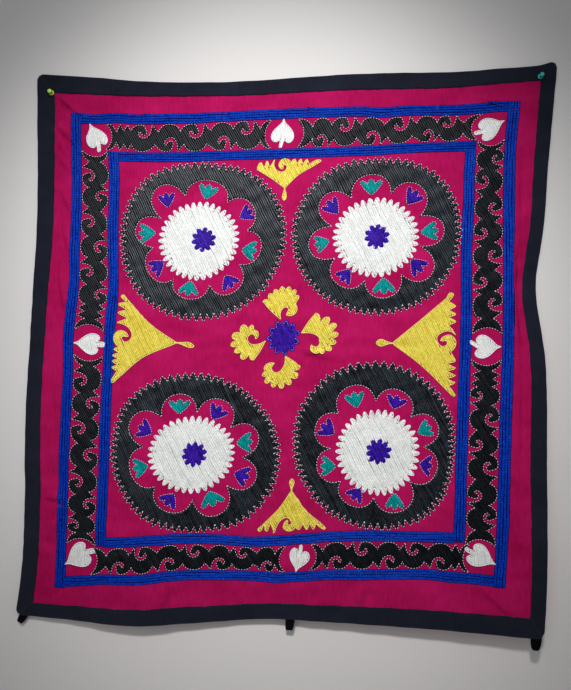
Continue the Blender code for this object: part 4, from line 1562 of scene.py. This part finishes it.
    def bud_outline(self, one: LobedTriangle) -> np.ndarray:
        """The drop-shaped bud beyond the apex."""
        long, drift, wide = one.bud
        share = np.linspace(0, 1, 16)
        half = wide / 2 * np.sin(math.pi * share**2.1) + 0.7
        depth = one.apex[1] - 1.0 + share * long
        centre = one.apex[0] + share**1.5 * drift
        right = np.column_stack((centre + half, depth))
        left = np.column_stack((centre - half, depth))[::-1]
        return self.placed(one, np.vstack((right, left)))

    def fan_outline(self, fan: Fan) -> np.ndarray:
        """The closed flat outline of a fan, from its stem over its fingers and round its eye."""
        stem, eye = np.array(fan.stem, float), np.array(fan.stem, float) + fan.eye

        def around(rows: list) -> np.ndarray:
            """Flat places of turns and radii round the eye."""
            turns, radii = np.radians([row[0] for row in rows]), np.array([row[1] for row in rows])
            return eye + np.column_stack((np.sin(turns), -np.cos(turns))) * radii[:, None]

        tips = list(fan.tips)
        first = around(tips[:1])[0]
        side = stem + (first - stem) * 0.55 + np.array((first[1] - stem[1], stem[0] - first[0])) * 0.03
        parts = [curve_through([stem, side, first - (first - stem) * 0.06], step=2.0)]
        for k, (turn, radius) in enumerate(tips):
            following = tips[k + 1] if k + 1 < len(tips) else (turn + 22, fan.hook_size / fan.valley_share)
            gap = following[0] - turn
            valley = (turn + gap / 2, (radius + following[1]) / 2 * fan.valley_share)
            rows = [(turn, radius), (turn + gap * 0.24, radius * 0.96), (turn + gap * 0.38,
                (radius + valley[1]) / 2),
                    valley, (turn + gap * 0.62, (following[1] + valley[1]) / 2),
                    (turn + gap * 0.78, following[1] * 0.95)]
            parts.append(around(rows if k + 1 < len(tips) else rows[:4]))
        last = tips[-1][0]
        hook = around([(last + share * fan.hook_reach, size * fan.hook_size) for share,
            size in self.hook_form])
        parts.append(curve_through([parts[-1][-1], *hook], step=2.0)[1:])
        distance = math.hypot(*fan.eye)
        stem_turn = math.degrees(math.atan2(-fan.eye[0], fan.eye[1])) % 360
        while stem_turn + 100 > last + 20:
            stem_turn -= 360
        rows = [(last + fan.hook_reach - 20, fan.eye_radius * 0.86), (last + 20, fan.eye_radius)]
        rows += [(turn, fan.eye_radius) for turn in np.arange(last, stem_turn + 120, -25)]
        rows += [(stem_turn + turn, max(share * distance, fan.eye_radius * 0.95)) for turn,
            share in self.inner_form]
        parts.append(curve_through(np.vstack((parts[-1][-1:], around(rows))), step=2.0)[1:-1])
        return np.vstack(parts)

    def make(self, yellow: bpy.types.Material, pale: bpy.types.Material) -> list:
        """Stitch the triangles, their buds and the fans, with a paler cord round each."""
        fill = Stitchwork(self.cloth, seed=71)
        cords = Stitchwork(self.cloth, seed=72)
        loops = [self.triangle_outline(one) for one in self.triangles]
        loops += [self.bud_outline(one) for one in self.triangles]
        loops += [self.fan_outline(fan) for fan in self.fans]
        for loop in loops:
            fill.laid_fill([loop], turn=62.0, pitch=3.8, grain=8.0, rise=1.3, contrast=0.10)
            cords.cord(loop, True, half=1.1, rise=1.6, base=0.6, stitch=2.6)
        return [fill.build("yellow_fills", yellow),
                cords.build("yellow_cords", pale)]


@dataclass
class MiddleFlower:
    """The violet flower in the middle of the cloth."""

    cloth: HungCloth
    across: float = 526.0
    down: float = 535.0
    radii: tuple = (34.0, 36.0)
    depth: float = 10.0
    lobes: int = 11

    def make(self, rosettes: Rosettes, violet: bpy.types.Material, white: bpy.types.Material) -> list:
        """Stitch the flower and its white outline."""
        loop = rosettes.lobed((self.across, self.down), self.radii, self.depth, self.lobes, 0.15)
        fill = Stitchwork(self.cloth, seed=81)
        fill.laid_fill([loop], turn=62.0, pitch=3.0, grain=7.5)
        fill.cord(loop, True, half=1.0, rise=1.1, stitch=2.4)
        stitches = Stitchwork(self.cloth, seed=82)
        stitches.running_stitch(loop, True, pitch=5.4, dash=3.0, half=0.5, rise=0.7, base=0.8, aside=1.6)
        return [fill.build("middle_violet_flower", violet),
                stitches.build("middle_flower_stitches", white)]


@dataclass
class PushPins:
    """The two push pins: turned plastic heads, with the steel needles of the frame."""

    cloth: HungCloth
    profile: tuple = (
        (0.0, 12.5), (3.3, 12.5), (4.0, 12.2), (4.25, 11.6), (4.25, 10.4), (4.05, 9.8), (3.4, 9.2),
        (2.7, 8.3),
        (2.35, 7.2), (2.3, 6.0), (2.35, 4.6), (2.6, 3.5), (3.4, 2.6), (4.9, 2.0), (5.35, 1.6), (5.45, 1.2),
        (5.45, 0.6), (5.2, 0.1), (0.85, 0.0), (0.85, 3.8), (0.0, 3.8))
    steps: int = 40
    seat: float = 1.85

    def head(self, name: str, across: float, down: float, finish: bpy.types.Material,
            slot: str) -> bpy.types.Object:
        """Turn one head and set it on the cloth."""
        step = 1.0
        point, right, below = self.cloth.middle(np.array([across, across + step, across]),
                                                np.array([down, down, down + step]))
        outward = Vector(np.cross(below - point, right - point)).normalized()
        turned = bmesh.new()
        rim = [turned.verts.new((radius * MM, 0.0, height * MM)) for radius, height in self.profile]
        edges = [turned.edges.new(pair) for pair in zip(rim, rim[1:])]
        bmesh.ops.spin(turned, geom=rim + edges, cent=(0, 0, 0), axis=(0, 0, 1), angle=2 * math.pi,
                       steps=self.steps, use_merge=True)
        bmesh.ops.remove_doubles(turned, verts=turned.verts, dist=0.00001)
        bmesh.ops.recalc_face_normals(turned, faces=turned.faces)
        bmesh.ops.transform(turned, matrix=outward.to_track_quat("Z", "Y").to_matrix().to_4x4(),
            verts=turned.verts)
        seat = Vector(point) + outward * self.seat * MM
        bmesh.ops.translate(turned, vec=seat, verts=turned.verts)
        mesh = bpy.data.meshes.new(name + "_turned")
        turned.to_mesh(mesh)
        turned.free()
        mesh.shade_smooth()
        mesh.materials.append(finish)
        piece = bpy.data.objects.new(name + "_turned", mesh)
        bpy.context.scene.collection.objects.link(piece)
        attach(piece, "root")
        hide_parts(name)
        return piece

    def make(self, steel: bpy.types.Material) -> list:
        """Make both heads and dress both needles."""
        pieces = [
            self.head("left_pin_head", *self.cloth.pins[0], YELLOW_GREEN_PLASTIC.make(),
                "yellow_green_plastic"),
            self.head("right_pin_head", *self.cloth.pins[1], TEAL_PLASTIC.make(), "teal_plastic")]
        for name in ("left_pin_needle", "right_pin_needle"):
            needle = bpy.data.objects[name]
            for slot in needle.material_slots:
                slot.material = steel
        return pieces


@dataclass
class Studio:
    """Wall, floor, lights and camera."""

    camera_place: tuple = (0.0433, -1.3127, -0.537)
    camera_yaw: float = 2.5
    lens: float = 33.91
    floor_height: float = -1.62

    def plane(self, name: str, size: float, finish: bpy.types.Material, wall: bool) -> bpy.types.Object:
        """A plain square of wall or floor."""
        grid = bmesh.new()
        bmesh.ops.create_grid(grid, x_segments=1, y_segments=1, size=size)
        if wall:
            bmesh.ops.rotate(grid, cent=(0, 0, 0), verts=grid.verts,
                             matrix=Vector((0, -1, 0)).to_track_quat("Z", "Y").to_matrix())
        else:
            bmesh.ops.translate(grid, vec=(0, -size + 0.4, self.floor_height), verts=grid.verts)
        mesh = bpy.data.meshes.new(name)
        grid.to_mesh(mesh)
        grid.free()
        mesh.materials.append(finish)
        thing = bpy.data.objects.new(name, mesh)
        bpy.context.scene.collection.objects.link(thing)
        return thing

    @staticmethod
    def paint(name: str, colour: tuple, one_way: bool) -> bpy.types.Material:
        """Matt wall paint, clear from behind where it is one way."""
        book = NodeBook(name)
        place = book.add("TexCoord", {}).outputs["Object"]
        noise = book.noise(place, (3.0, 3.0, 3.0), 2.0)
        shade = tuple(part * 0.96 for part in colour)
        book.fill(book.shader, {"Base Color": book.mix(noise, colour, shade), "Roughness": 0.9,
                                "Specular IOR Level": 0.2})
        if one_way:
            clear = book.add("BsdfTransparent", {}).outputs["BSDF"]
            behind = book.add("NewGeometry", {}).outputs["Backfacing"]
            choose = book.add("MixShader", {0: behind, 1: book.shader.outputs["BSDF"], 2: clear})
            book.fill(book.tree.nodes["Material Output"], {"Surface": choose.outputs["Shader"]})
        return book.material

    @staticmethod
    def lamp(name: str, light: bpy.types.Light, place: tuple, aim: tuple, power: float,
            colour: tuple) -> None:
        """Set a lamp out of the camera's sight and aim it."""
        light.energy = power
        light.color = colour
        thing = bpy.data.objects.new(name, light)
        bpy.context.scene.collection.objects.link(thing)
        thing.location = place
        thing.visible_camera = False
        thing.rotation_euler = (Vector(aim) - Vector(place)).to_track_quat("-Z", "Y").to_euler()

    def make(self) -> None:
        """Build the studio."""
        wall = self.plane("studio_wall", 3.0, self.paint("wall paint", (0.74, 0.73, 0.72), True), True)
        wall.visible_shadow = False
        self.plane("studio_floor", 3.0, self.paint("floor paint", (0.60, 0.59, 0.57), False), False)
        ceiling = bpy.data.lights.new("ceiling_lamp", "SPOT")
        ceiling.spot_size = math.radians(44)
        ceiling.spot_blend = 1.0
        ceiling.shadow_soft_size = 0.12
        self.lamp("ceiling_lamp", ceiling, (-0.06, -1.85, 0.72), (-0.03, 0.0, -0.50), 132.0,
            (1.0, 0.985, 0.97))
        soft = bpy.data.lights.new("soft_lamp", "AREA")
        soft.size = 2.0
        self.lamp("soft_lamp", soft, (-0.8, -2.8, 0.2), (-0.1, 0.0, -0.5), 10.0, (0.98, 0.985, 1.0))
        rear = bpy.data.lights.new("rear_lamp", "AREA")
        rear.size = 1.6
        self.lamp("rear_lamp", rear, (0.9, 2.6, 0.4), (0.0, 0.0, -0.55), 45.0, (1.0, 0.99, 0.98))
        world = bpy.data.worlds.new("soft_room")
        bpy.context.scene.world = world
        world.use_nodes = True
        world.node_tree.nodes["Background"].inputs["Color"].default_value = (0.95, 0.96, 1.0, 1)
        world.node_tree.nodes["Background"].inputs["Strength"].default_value = 0.2
        camera = bpy.data.cameras.new("view_camera")
        camera.sensor_fit = "VERTICAL"
        camera.sensor_height = 36.0
        camera.lens = self.lens
        thing = bpy.data.objects.new("view_camera", camera)
        bpy.context.scene.collection.objects.link(thing)
        thing.location = self.camera_place
        thing.rotation_euler = (math.pi / 2, 0.0, math.radians(self.camera_yaw))
        bpy.context.scene.camera = thing
        bpy.context.scene.view_settings.view_transform = "Standard"
        bpy.context.scene.view_settings.look = "High Contrast"


def main() -> None:
    """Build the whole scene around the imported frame."""
    logging.basicConfig(level=logging.INFO, format="%(message)s")
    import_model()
    cloth = HungCloth()
    maker = SheetMaker(cloth)
    border = FoldedBorder(cloth)
    dark = DARK_COTTON.make()
    black, white, blue = BLACK_THREAD.make(), WHITE_THREAD.make(), BLUE_THREAD.make()
    scroll = SCROLL_THREAD.make()
    violet, teal = VIOLET_THREAD.make(), TEAL_THREAD.make()
    ground = GroundPanel(cloth, border).make(maker, MAGENTA_COTTON.make())
    for side in Side:
        border.strip(side, maker, dark)
    seam = border.seam_stitches(dark)
    HangingLoops(cloth).make(maker, DARK_RIBBON.make())
    bands = BlueBands(cloth)
    rosettes = Rosettes(cloth)
    stitched = bands.make(blue)
    stitched += ScrollBorder(cloth, bands).make(scroll, white)
    stitched.append(LeafRoundels(cloth).make(white))
    stitched += rosettes.make(black, white, violet, teal)
    stitched += YellowWork(cloth).make(YELLOW_THREAD.make(), PALE_YELLOW_THREAD.make())
    stitched += MiddleFlower(cloth).make(rosettes, violet, white)
    PushPins(cloth).make(NEEDLE_STEEL.make())
    Studio().make()


if __name__ == "__main__":
    main()
